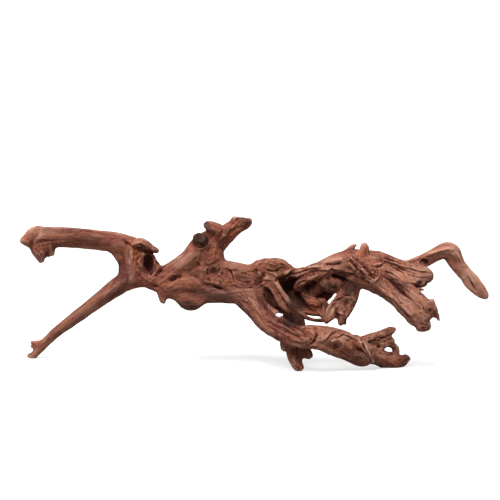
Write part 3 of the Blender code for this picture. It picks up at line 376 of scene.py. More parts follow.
# Finer grooves and ridges, read closer up: half width, height, then x and height of each point in turn.
FRONT_LINES = [
    (1.4, 0.7, 36.5, 142.5, 32, 136.5, 28.5, 130.5, 28, 124.5, 30, 121.5),
    (1.6, -1, 39, 142.5, 35, 136.5, 31.5, 130.5, 31, 124.5), (1.5, -1.4, 44.5, 111.5, 46, 115.5, 50, 120.5),
    (4, 0.6, 34, 124.5, 37, 118.5, 41, 112.5), (3, 0.7, 50, 122.5, 52, 118.5),
    (0.9, -0.7, 34, 125.5, 37, 128.5, 44, 130, 52, 131, 59, 131),
    (0.9, -0.5, 36, 122.5, 40, 125.5, 47, 127, 56, 128), (0.8, 0.4, 35, 124, 39, 127, 46, 128.5, 56, 129.5),
    (3.5, -0.5, 60, 131.5, 72, 131, 84, 129.5, 98, 128, 108, 125.5),
    (0.8, -0.6, 62, 138.5, 76, 138, 92, 135.5), (0.8, -0.5, 70, 128, 86, 126.5, 102, 125),
    (0.8, -0.5, 88, 140, 102, 137, 114, 133.5), (0.8, -0.5, 46, 139.5, 58, 140),
    (0.9, -0.4, 48, 38.5, 60, 48.5, 74, 59.5, 88, 70.5),
    (0.9, -0.3, 58, 42.5, 72, 52.5, 88, 64.5, 104, 76.5), (2, 0.3, 70, 53.5, 84, 63.5, 100, 74.5, 114, 84.5),
    (0.9, -0.5, 37, 22.5, 43, 26.5, 50, 33.5), (1.2, -1.5, 124, 131.5, 127, 129, 130, 126),
    (1.2, 0.9, 132, 120, 138, 119, 143, 119.7, 146, 117.5),
    (1, -0.2, 133.5, 124, 132, 119.5, 132.6, 114.5, 134, 110.5), (1.8, 0.7, 140, 133, 149, 127, 157, 122.5),
    (1, -0.8, 143, 130, 149, 125.5, 155, 121), (1.6, 1, 139, 109.5, 142.5, 103.5, 146.5, 98, 151, 94.5),
    (1.2, 0.9, 153.8, 113.5, 158, 109, 162, 105), (1.5, 0.5, 137, 100.5, 144, 94.5, 150, 90.5),
    (1.2, -0.5, 134, 103.5, 140, 95.5, 146, 88.5), (1, -0.4, 151, 92.5, 158, 96, 164, 100.5),
    (0.9, -0.4, 146, 95.5, 152, 98.5, 158, 102.5), (2, -2.1, 149, 86.5, 153, 85.5, 157, 85),
    (1.8, -1.4, 167.5, 89, 171, 91.2, 176, 93.5, 179, 94.7), (1.3, -0.8, 182.3, 99.5, 185, 101.1),
    (2.6, -1.3, 189.5, 94.5, 192, 95.9, 196, 95.5),
    (1.6, -1, 197, 94.5, 200.5, 90.5, 204, 85.5, 208, 81.9, 212, 80.5),
    (1.6, -0.6, 168, 72.5, 172, 77.5, 178, 80.5), (0.9, -0.4, 163, 77.5, 169, 82.5, 176, 86.5),
    (0.9, -0.4, 174, 75.5, 184, 79, 196, 80), (0.9, -0.4, 182, 72.5, 194, 74, 206, 73),
    (2.4, 0.7, 196, 85.9, 204, 81.9, 213, 78.5, 226, 78.9, 240, 80.5, 252, 82.1, 262, 81.5),
    (3.4, -0.8, 190, 73.5, 202, 72.9, 214, 71.5, 226, 71.5), (1, -0.5, 186, 67.5, 192, 64, 199, 66),
    (0.9, -0.4, 164, 96.5, 171, 103, 179, 109.5, 186, 116.5),
    (0.9, -0.4, 170, 99.5, 178, 105, 187, 111.5, 193, 118.5),
    (0.8, -0.5, 188, 103.5, 194, 109.5, 198, 116.5), (1.3, -1.2, 211, 85.5, 216, 83.9, 222, 81.9, 226, 80.9),
    (1.1, -0.9, 204, 87, 208, 85.5, 211, 83.5), (2, 1.3, 207, 90.9, 208, 90.5),
    (1.9, 1.3, 212.4, 92.1, 213, 91.5), (2.2, 1.3, 217, 88.5, 218, 88.1), (1.8, 1.3, 220.4, 93.1, 221, 92.5),
    (2, 1.3, 224, 86.9, 225, 86.5), (1.8, 1.3, 227, 91.1, 228, 90.5), (1.6, 0.7, 226.4, 95.9, 227, 95.5),
    (0.9, -0.9, 209.6, 94.5, 210, 88.5, 214, 85.5),
    (0.9, -0.9, 215.4, 94.5, 214.6, 90.5, 220.6, 89.9, 221, 84.9),
    (0.9, -0.8, 224, 94.5, 224.4, 90.1, 228, 87.1, 228.6, 82.5),
    (0.9, -0.7, 219, 95.9, 224, 95.1, 230, 92.5, 231, 88.5),
    (1.2, -0.7, 205, 99.5, 205.6, 94.5, 203.6, 91.5),
    (1, -0.5, 203, 117.1, 208, 114.9, 215, 116.1, 221, 118.5),
    (0.9, -0.8, 192.6, 124.9, 198, 123.5, 204, 124.5, 209, 122.9),
    (0.9, -0.4, 194, 121.9, 200, 120.5, 206, 121.5, 212, 120.5),
    (0.9, -0.7, 196, 127.9, 202, 126.5, 208, 127.1), (0.8, -0.7, 190, 121.5, 192, 118.9, 195, 118.1),
    (1, -0.5, 229, 137.5, 223, 131.5, 217, 125.5, 213, 118.5, 211, 111.5),
    (1, -0.5, 232, 133.5, 226, 127.5, 220, 120.5, 217.6, 113.5),
    (1, -0.5, 222, 137.5, 216, 131.5, 211, 124.5, 207, 117.5),
    (0.9, -0.4, 215, 139.5, 211, 133.5, 207, 127.5),
    (1.2, 0.4, 226, 134.5, 220, 128.5, 215, 121.5, 212.6, 114.5),
    (1.2, 0.4, 218, 135.5, 213, 128.5, 209, 121.5), (1.6, -0.6, 223.6, 125.5, 222.6, 118.5, 223.6, 111.5),
    (1.3, 0.3, 193.4, 130.5, 196, 127.1, 201, 125.9, 206, 127.5),
    (1.2, 0.6, 194, 135.5, 198, 137.9, 203, 137.5), (1, -0.7, 217, 148.9, 220, 147.1, 222.6, 144.5),
    (1.2, -0.6, 208, 147.5, 213, 143.5, 218, 139.5, 221, 134.5),
    (1.4, 0.4, 205.6, 148.5, 211, 144.9, 217, 140.5), (1.2, -0.7, 223.4, 143.5, 222, 139.5, 219, 135.5),
    (1, -0.6, 222, 140.5, 227, 136.9, 231, 138.5, 235, 141.9),
    (1, -0.5, 232, 152.5, 235.6, 147.5, 240, 143.5, 243, 145.5),
    (1, -0.5, 245, 149.9, 241, 146.5, 236, 141.5, 231, 135.5),
    (0.9, -0.4, 240, 150.5, 236, 145.9, 230, 140.9),
    (1.4, 0.5, 238, 152.9, 233, 146.9, 228, 141.5, 224, 137.5),
    (1.1, -0.6, 249, 150.5, 244.6, 148.5, 241, 149.5),
    (1.2, 0.3, 247, 144.5, 240, 139.9, 234, 134.9, 229, 130.5), (0.8, -0.6, 236, 96.5, 243, 94.1, 252, 93.5),
    (0.8, -0.5, 239, 98.5, 246, 97.1, 253, 95.5), (1, -1, 228, 90.5, 236, 85.1, 247, 83.5, 258, 85.5),
    (1, -0.8, 231, 97.9, 235, 91.9, 242, 88.1), (5, -0.6, 232, 105.5, 242, 103.5),
    (0.8, -0.5, 228, 107.5, 238, 103.9, 250, 102.5), (3, 0.6, 180, 100, 190, 102, 200, 102, 206, 95),
    (5, 0.6, 160, 92, 168, 99, 182, 106, 192, 116), (3, 1.2, 238, 96.5, 245, 94.5, 252, 94),
    (1.4, -1.2, 142, 123.5, 148, 120.5, 153, 119.5), (3.2, -0.6, 136, 122.5, 137.5, 117.5, 139, 112.5),
    (1.1, -3, 277, 91.9, 281, 93.5, 285.6, 95.5, 289, 97.5),
    (1.1, -2.8, 285.4, 91.7, 289, 93.1, 292.4, 94.5, 296.6, 97.1),
    (0.9, -1.4, 291, 97.5, 294, 98.7, 298, 99.3), (0.9, 1.1, 285, 92.9, 289, 95.5, 293.6, 97.9, 299, 100.5),
    (1, 1.2, 287.4, 91.7, 292, 92.7, 298, 96.1, 304, 98.3), (1.6, -0.9, 271, 103.5, 275, 102.1),
    (1.3, -0.8, 284, 106.5, 286, 104.5), (1.2, -0.7, 262, 105.5, 266, 104.5),
    (1.2, -1.4, 258, 96.5, 261.6, 94.5, 261, 91.1, 258, 90.5),
    (1.2, -1.3, 263.6, 99.5, 262, 96.5, 264, 93.1), (1.1, -0.7, 265, 96.1, 269, 94.7, 272, 91.9),
    (1, -0.6, 267, 88.5, 268, 87.5), (1, -0.6, 272, 97.9, 273, 97.1),
    (1, -1.6, 298, 100.5, 303, 100.7, 308, 101.3), (0.9, -0.9, 300, 104.7, 308, 105.1, 315, 106.9),
    (0.9, -1.4, 315.6, 103.3, 318.6, 101.7), (0.8, -0.8, 326, 109.5, 332, 111.5),
    (0.8, -0.8, 334, 113.5, 341, 116.1), (0.8, -0.8, 331, 105.9, 338, 107.5),
    (1.2, -1.3, 278, 81.5, 283.4, 71.9, 290, 63.5, 297, 56.1),
    (1, -0.6, 273, 86.5, 277, 77.5, 282, 68.5, 288, 61.5),
    (0.7, -0.4, 281, 79.9, 286, 71.5, 292, 65.5, 299, 59.5),
    (1, -0.9, 298, 90.9, 305, 94.7, 313, 96.5, 321, 98.5), (0.9, 0.8, 300, 92.5, 308, 96.1, 316, 98.1),
    (0.9, -0.8, 297, 85.9, 300, 89.5, 306, 92.1), (1.4, -0.8, 326, 95.5, 330, 90.5, 331, 83.5, 328, 77.5),
    (1.2, -0.7, 334, 94.5, 337, 89.5, 336, 82.5), (1.6, 0.7, 333, 94.5, 333.6, 88.5, 332, 82.5),
    (1.3, -1.1, 320, 84.5, 325, 80.5, 332, 78.5), (1.2, -0.9, 305, 86.5, 309, 81.5, 313, 76.5),
    (1.1, 1.1, 308, 86.5, 311, 80.9, 313, 76.5), (1.1, -0.8, 300, 78.5, 305, 74.5, 309, 72.9),
    (1, -1.1, 309, 68.5, 314, 69.5, 318, 66.9), (1, -1.1, 318, 67.5, 317.6, 62.5, 316, 59.5),
    (1, -1, 322.6, 66.5, 322, 61.5, 322.4, 57.5), (0.9, 0.8, 320, 66.5, 320, 61.5),
    (1.1, -0.9, 264, 69.5, 265.4, 66.5, 265.2, 62.5), (1.1, -0.9, 261.5, 50.5, 263.4, 46.9, 265.6, 42.5),
    (1, -0.7, 257, 74.5, 259.6, 67.5, 262, 59.5), (1, -0.6, 256, 61.5, 259, 53.5, 264, 47.5),
    (1, 0.6, 267, 61.5, 271, 53.5, 276, 46.5), (1.3, -0.8, 280, 51.7, 286, 47.1, 292.6, 41.5, 297, 38.5),
    (1, -0.5, 272, 52.5, 279, 45.5, 287, 40.5, 296, 35.9), (1, -0.5, 266, 49.5, 273, 43.1, 280, 39.1),
    (1.3, -1.1, 271.4, 44.5, 273, 42.5), (1.6, -1.1, 274.4, 37.9, 277.6, 34.1),
    (1.3, -0.9, 277, 32.5, 279.4, 30.9), (1.4, 0.7, 287, 35.9, 290, 36.9), (1, -0.7, 294.6, 34.5, 298, 32.5),
    (0.9, -0.8, 301.4, 35.1, 304.2, 32.5), (0.9, -0.8, 296, 29.9, 300, 28.5),
    (0.9, -0.8, 285, 31.5, 290, 29.9), (1.3, -2.2, 317.2, 36.9, 316.4, 33.5, 315, 29.9),
    (1.3, -2.1, 315, 29.7, 311.6, 27.7, 308, 24.9), (0.9, -1.1, 306, 29.5, 306.6, 27.5, 307.2, 24.9),
    (1, -0.7, 309.6, 36.5, 312, 34.1), (1, -0.7, 303, 40.5, 306.4, 41.3, 309, 39.5),
    (0.9, -0.9, 320, 39.9, 321.4, 35.5, 320, 30.5), (0.9, -0.9, 324, 40.9, 325.4, 37.5, 329, 38.5),
    (0.9, -0.9, 326, 30.5, 331, 34.9, 336, 38.7), (1, -1.2, 344, 31.3, 348, 30.9, 352, 32.3),
    (1.2, -1.4, 340, 37.9, 342.4, 37.1), (1.4, -1.1, 345, 39.1, 349, 37.9),
    (1.4, 0.9, 331.6, 26.5, 333, 30.5, 338, 31.9, 342.6, 29.5, 343, 24.5, 340, 20.5),
    (1.2, -0.9, 329, 25.5, 330.6, 31.5, 336, 33.9, 342, 33.1), (0.9, -1.9, 335.4, 24.5, 335.2, 21.1),
    (1, 0.8, 331, 21.5, 335, 18.1, 341, 17.9), (1.1, -1.1, 353, 17.1, 355, 20.9, 359, 21.5, 361, 18.5),
    (1, -1, 352, 21.5, 356, 23.9, 360, 22.9), (1, -1.1, 355, 24.1, 356, 25.1),
    (1, -1, 349, 18.5, 354, 14.1, 361, 10.5),
    (1.2, -3.2, 362.4, 26.9, 365, 20.5, 367.6, 16.1, 369.8, 11.5, 370.6, 7.5),
    (0.9, -0.8, 362.6, 30.9, 366, 25.5, 368.6, 19.5, 371.6, 12.5),
    (0.9, -0.8, 364.6, 30.5, 368, 24.5, 371, 18.5, 373, 12.5), (1.6, -1.6, 369.6, 29.9, 372.4, 31.1),
    (1.3, -1.5, 374.6, 31.9, 378, 32.1), (1.4, -3.2, 378.8, 24.7, 379.2, 24.1),
    (1.2, -1.4, 370.4, 26.1, 371.6, 24.5), (1.3, 1.1, 374.6, 28.9, 376, 29.1),
    (1.2, 1, 378.4, 28.9, 379.6, 28.5), (1.2, 0.8, 382, 27.9, 383, 25.5),
    (0.9, -0.9, 373, 35.1, 380, 38.5, 388, 40.9), (0.9, -0.8, 378, 34.5, 385, 37.5, 391, 39.1),
    (1.3, -1.1, 382, 38.5, 384, 37.9), (1, -1.4, 390, 31.9, 392, 29.9, 394, 30.1),
    (1, -1.4, 389, 28.5, 391.6, 27.7, 394, 28.3), (0.9, -1.1, 393, 24.9, 396, 22.1, 397.6, 18.9),
    (2, -1.4, 385, 17.1, 388.6, 16.1, 392, 16.9), (0.9, -0.9, 385, 14.5, 392, 10.9, 397, 6.9),
    (0.9, -0.9, 383, 11.5, 389, 7.9, 393, 4.5), (0.9, 0.8, 387, 12.5, 393, 8.5, 397, 5.5),
    (1.2, -1.4, 381, 18.1, 382, 16.9), (1.3, -1.1, 377, 18.9, 379, 17.5), (1.2, -1.1, 379, 9.5, 381, 8.9),
    (2.6, -1.6, 298, 21.5, 300, 16.5, 301, 12.5), (0.9, -0.9, 294, 18.5, 296, 12.5, 299.6, 7.9),
    (0.9, -0.9, 305, 19.5, 306, 15.5, 308, 12.9), (1, -1.5, 286.6, 26.5, 287.4, 22.5),
    (0.9, -0.9, 333, 66.5, 329.6, 60.5, 327.6, 53.5, 327.4, 48.5),
    (0.9, 0.8, 337, 67.5, 332, 60.5, 330, 53.5), (0.8, -0.7, 331, 63.5, 328, 58.5, 326.4, 52.5),
    (0.9, -1.2, 335.6, 59.9, 339, 55.9, 343, 51.5), (0.9, -1.1, 336, 56.5, 338.6, 51.9, 341, 47.9),
    (1.2, 0.7, 339.6, 58.5, 344, 61.5, 349, 65.9), (3.4, -1.2, 344, 68.1, 348, 69.5),
    (1, -1.4, 344.4, 56.5, 346.4, 58.5), (1, -1, 341, 74.5, 345, 76.1, 351, 75.5),
    (1.1, -0.5, 354, 114.1, 360, 111.7, 366, 114.9), (0.9, -0.5, 362.6, 125.5, 363, 119.5, 361, 113.9),
    (0.9, -0.5, 366, 124.5, 366.4, 119.5, 365, 114.5), (0.8, -0.8, 350, 121.5, 354, 125.1),
    (1, -0.4, 348, 112.5, 351, 106.9, 355.6, 101.5), (0.9, -0.4, 352, 114.5, 357, 108.5, 361, 103.5),
    (1.1, -0.9, 345.4, 109.7, 346.6, 108.7), (1.4, 1, 369, 114.5, 374, 112.5, 379.6, 110.1),
    (0.9, -1, 370, 116.9, 377, 115.5, 384, 111.9), (0.9, -1, 371, 119.9, 379, 118.1, 387, 114.1, 395, 110.9),
    (0.9, -0.9, 384, 108.5, 391, 106.5, 399, 103.9, 406, 100.9),
    (1.1, -0.7, 374.6, 103.9, 371.4, 99.9, 370, 94.5, 371.4, 89.9),
    (0.9, -0.9, 378, 102.5, 375.4, 97.9, 374.4, 92.5), (1.2, -3.4, 387.4, 100.5, 393, 98.1, 397.8, 94.7),
    (1.1, -1.3, 411.8, 103.5, 413, 102.3), (0.9, -1.1, 416.6, 98.9, 418, 97.5),
    (0.9, -0.8, 414, 97.5, 415, 96.5), (1.1, -1.1, 426.2, 89.9, 426.6, 88.3),
    (0.8, -0.5, 404, 101.5, 411, 98.9, 418, 94.5), (0.8, -0.5, 402, 96.5, 409, 94.1, 415, 91.5),
    (1.4, -1.9, 389, 93.5, 393, 90.9, 397, 86.9), (1.4, -1.9, 396.6, 89.9, 401, 85.9, 405, 81.9),
    (1.4, -1.8, 404, 84.5, 407.6, 80.9, 411, 76.9), (1.2, 1.2, 394, 91.5, 396, 90.1),
    (1.2, 1.2, 400, 84.5, 402, 82.1), (1.2, 1.1, 399, 89.9, 401, 88.5),
    (1, -1.4, 381, 101.5, 386, 97.5, 392, 94.1), (0.9, -1.1, 380.6, 97.9, 385, 94.5, 390, 90.5),
    (1.1, -0.7, 391.4, 79.5, 396, 74.1, 400, 69.5), (0.9, -1.1, 384, 89.5, 390, 83.5, 395, 78.5),
    (0.9, -1, 377, 87.5, 384, 82.9, 390, 76.5), (0.9, -0.6, 399, 79.5, 405, 72.9, 411, 66.9),
    (0.9, -0.6, 407, 76.9, 413, 69.9, 419, 62.9), (0.9, -1, 414, 75.5, 420, 69.5, 425, 63.5),
    (0.9, -1, 412, 59.5, 418, 51.9, 424, 45.5), (0.9, -0.5, 400, 61.5, 407, 53.9, 413, 47.5),
    (2, -0.7, 397, 65.5, 404, 57.5, 411, 49.5), (1.8, -3.2, 428.4, 60.5, 431.4, 60.9),
    (1.6, -1.4, 430, 57.5, 434, 55.5), (1.2, -1.5, 416, 56.5, 417, 55.1), (1.3, -1.2, 420, 52.9, 422, 50.5),
    (0.9, -1.1, 424, 46.5, 428, 45.1), (0.9, -0.9, 418, 49.5, 423, 43.9),
    (0.9, -1, 433, 61.5, 436, 56.5, 438.6, 51.9), (4, -1, 440, 115.5, 448, 115.5, 454, 108.5),
    (0.8, -0.6, 437, 124.1, 445, 125.9, 452, 125.5), (0.8, -0.5, 431, 119.9, 438, 122.1, 444, 123.1),
    (0.8, -0.6, 444, 113.5, 450, 110.5, 455, 103.9), (0.8, -0.5, 448, 118.5, 453, 113.5, 457.6, 105.5),
    (0.8, -0.5, 441, 117.5, 447, 116.1, 452, 110.5), (1.2, -0.7, 455, 122.5, 456, 120.5),
    (1.2, -0.6, 468.6, 93.9, 472, 87.9, 476, 80.9), (0.9, -0.6, 472, 95.5, 477, 88.9, 481, 82.5),
    (0.9, -0.7, 475, 85.5, 479, 79.9, 482, 75.5), (0.8, -0.5, 462, 99.5, 466, 91.9, 471, 84.5),
    (1.4, -1.3, 485, 82.9, 486, 79.9), (1.2, -0.8, 473.4, 93.5, 474.4, 91.5),
    (3, -1.6, 423.4, 110.5, 427, 108.5), (0.9, -0.8, 410, 106.9, 416, 108.9, 420, 110.5),
    (0.9, -1, 403, 107.9, 409, 104.9, 414, 105.5), (0.8, -0.4, 176, 73.5, 186, 76.5, 197, 75.5),
    (1, -0.5, 180, 68.5, 188, 68.1, 196, 69.5, 204, 72.1), (0.9, -0.4, 184, 64.1, 190, 62.1, 196, 64.9),
    (1.3, -0.8, 182.6, 99.5, 185, 101.1), (0.9, -0.4, 178, 99.5, 187, 105.5, 195, 113.1),
    (0.8, -0.4, 184, 97.5, 194, 102.9, 201, 109.5), (0.8, 0.4, 169, 96.5, 178, 103.5, 188, 112.1),
    (0.9, -0.7, 190.6, 121.9, 193.6, 119.9, 196, 120.1), (0.9, -0.4, 223, 131.5, 218, 125.5, 215, 119.5),
    (0.9, -0.4, 217, 134.5, 212.6, 128.9, 209, 122.5), (0.9, -0.4, 224, 121.5, 221, 116.5, 219, 110.5),
    (1, -0.5, 207, 135.5, 209, 131.5, 208, 126.5), (1.6, -0.4, 206, 147.9, 207.6, 145.1),
    (0.9, -0.4, 209, 148.9, 215, 146.1, 220, 142.5), (0.9, -0.4, 212, 149.9, 217, 147.5, 220.6, 144.5),
    (1, -1.3, 217.6, 148.7, 219.6, 147.9), (1.1, -0.5, 223, 137.5, 228, 135.9, 232, 138.5, 236, 142.5),
    (0.9, -0.5, 236, 140.5, 241, 144.9, 245, 147.9), (0.9, -0.4, 240, 141.9, 245, 145.5, 249, 147.5),
    (1.4, -0.6, 246.4, 149.9, 249, 149.1), (1.6, 0.4, 234.6, 153.9, 237, 154.1),
    (1, -0.7, 206, 94.9, 208, 91.5, 212, 90.1), (1, -0.8, 202.6, 88.5, 207, 85.9, 211, 84.9),
    (1, -0.8, 205, 92.5, 209.6, 92.1, 213.6, 93.5), (1, -0.8, 218, 91.9, 221.6, 89.9, 222.6, 85.9),
    (1, -0.8, 226, 93.5, 228.6, 89.9, 228.6, 85.9), (1, -1, 222, 102.5, 225.6, 99.9, 229, 96.9),
    (0.9, -0.9, 219.6, 99.5, 222.6, 96.9, 225.6, 94.5),
    (1, -1, 230, 88.9, 234.6, 88.9, 239, 86.9, 245, 86.1),
    (1, -0.6, 214.6, 83.9, 219, 81.5, 225, 80.1, 231, 80.9), (1.3, 0.5, 216, 87.1, 219.6, 85.5),
    (1.4, -0.8, 233, 97.1, 238, 92.9, 244, 90.7, 250, 90.5, 256, 92.9),
    (1, -1.1, 253, 92.5, 255.6, 89.9, 257, 86.5), (1, -0.8, 250, 102.5, 253.6, 99.5, 257, 97.9),
    (1, -0.8, 246, 104.5, 251, 103.9, 256, 104.9), (0.8, -0.5, 228, 109.5, 238, 105.9, 248, 104.1),
    (0.8, -0.5, 226, 106.5, 234, 103.5, 243, 102.1), (0.9, -0.5, 213, 76.9, 226, 77.1, 240, 78.5, 254, 79.5),
    (0.8, -0.5, 206, 73.5, 220, 73.1, 236, 74.1, 250, 73.5), (0.8, -0.5, 222, 70.1, 236, 70.5, 248, 68.1),
    (1, -0.2, 131.6, 110.5, 130.4, 115.5, 131, 120.5, 133.6, 123.9),
    (0.9, -0.3, 129, 120.9, 132, 119.9, 135, 121.1), (0.9, -0.3, 128.6, 116.9, 131.6, 115.7, 134.6, 116.5),
    (0.9, -0.3, 129, 113.1, 132, 111.9, 135, 112.5), (0.9, -0.7, 133, 125.5, 135.6, 123.5, 138.6, 123.5),
    (1, -0.4, 137, 124.5, 141.6, 124.9, 146, 122.5, 151, 119.1),
    (0.9, -0.7, 141, 130.9, 147, 127.9, 152.6, 124.9), (1, -0.8, 137, 114.5, 136, 109.5, 137.6, 103.9),
    (0.9, -0.3, 154, 86.9, 160, 91.9, 166, 97.5), (1, -0.5, 33, 122.5, 34, 129.1, 37, 134.5, 40, 140.5),
    (1.3, -0.8, 24, 135.5, 26.6, 131.9, 27, 127.5), (1, -0.7, 29, 139.5, 28, 134.5, 29, 129.5),
    (1.1, 0.6, 33, 140.5, 30.6, 135.9), (1, -1.3, 29, 122.1, 31, 119.9),
    (0.9, -0.6, 33, 119.5, 37, 115.5, 40.6, 111.5), (0.9, -0.6, 41, 123.9, 45, 120.1, 47.6, 115.9),
    (0.8, -0.5, 60, 140.9, 75, 140.5, 92, 139.1, 108, 136.1), (0.8, -0.5, 64, 124.5, 80, 123.5, 96, 122.7),
    (0.8, -0.4, 44, 141.9, 54, 142.1), (0.8, 0.4, 76, 133.5, 92, 131.1, 108, 128.5),
    (0.9, -0.4, 116, 127.5, 122, 119.5, 125, 109.5, 123, 98.5),
    (0.8, -0.3, 121, 125.5, 126, 115.5, 128, 104.5, 127, 93.5),
    (0.8, -0.3, 119, 101.5, 117, 92.5, 110, 83.5), (2, -2, 384, 102, 392, 99.5, 400, 94, 405, 90),
    (1.8, -1.8, 372, 112, 386, 110, 398, 104, 410, 100), (2, -1.2, 233, 101, 243, 99, 252, 97, 258, 93),
    (2.2, -2.6, 166, 88.5, 170, 91.5, 175, 93.6, 181, 95.5),
    (2.4, -0.8, 184, 93, 190, 96.4, 197, 96.5, 202, 91, 207, 85),
    (3, 0.4, 197, 85, 212, 80, 235, 79, 255, 78), (2, -0.9, 209, 88, 215, 84.5, 225, 81),
    (4.4, -3.4, 229, 101, 236, 96, 245, 91, 255, 88.5, 260, 93),
    (2, -0.8, 197, 113, 200, 107.5, 210, 106, 218, 110), (2.6, -0.8, 226, 117, 219, 128, 214, 134, 209, 140),
    (2.4, -0.8, 222, 138, 230, 139, 238, 144), (3, -2.4, 384, 95, 393, 87, 402, 79, 409, 71),
    (2.4, -0.9, 394, 72, 404, 61, 412, 51), (2.4, -0.8, 469, 94, 474, 86, 480, 79),
    (2, 1.6, 133, 127, 140, 126, 143, 118, 142, 108, 145, 100),
    (3, -0.4, 168, 76, 180, 82, 196, 77, 210, 73), (2, -0.6, 404, 76, 414, 66, 422, 58),
    (1.8, -1.4, 400, 100.9, 404, 98.9), (1.3, -1, 419, 89.1, 420, 88.5), (1.9, 1.1, 212, 87.9, 213, 87.7),
    (1.7, 1.1, 217, 91.3, 218, 91.5), (1.8, 1.2, 222.6, 95.1, 223.6, 94.7),
    (1.6, 1.1, 228.4, 95.5, 229, 94.9), (1.7, 1.1, 206.6, 93.9, 207.4, 93.5),
    (1.6, 1.1, 228, 83.1, 229, 83.1), (1.6, 1.4, 234.4, 84.1, 235.4, 84.3),
    (1.5, 1.5, 219, 98.9, 219.8, 98.3), (1.5, 1.4, 224.6, 100.9, 225.4, 100.5),
    (1.3, -1.5, 214.6, 90.9, 215.4, 90.5), (1.3, -1.6, 220.4, 88.5, 221, 87.7),
    (1.2, -1.5, 225.6, 91.9, 226, 90.9), (1.2, -1.4, 209.6, 91.1, 210, 90.5),
    (1.2, -1.4, 231.6, 87.9, 232, 86.9), (1.1, -1.8, 222, 98.1, 222.4, 97.5),
    (1.4, -1.8, 216.6, 84.1, 219.6, 82.9), (2.4, 1.3, 322, 92.5, 324, 91.5),
    (2.2, 1.3, 330, 87.5, 331, 85.5), (2.2, 1.2, 337, 92.5, 338, 90.5), (2, 1.2, 326, 80.5, 328, 79.5),
    (1.8, -1.6, 327, 90.5, 328, 87.5), (1.8, -1.6, 334, 83.5, 336, 81.5), (1.8, -2, 343, 93.5, 344, 88.5),
    (1.6, -1.4, 320, 85.5, 321, 82.5),
]
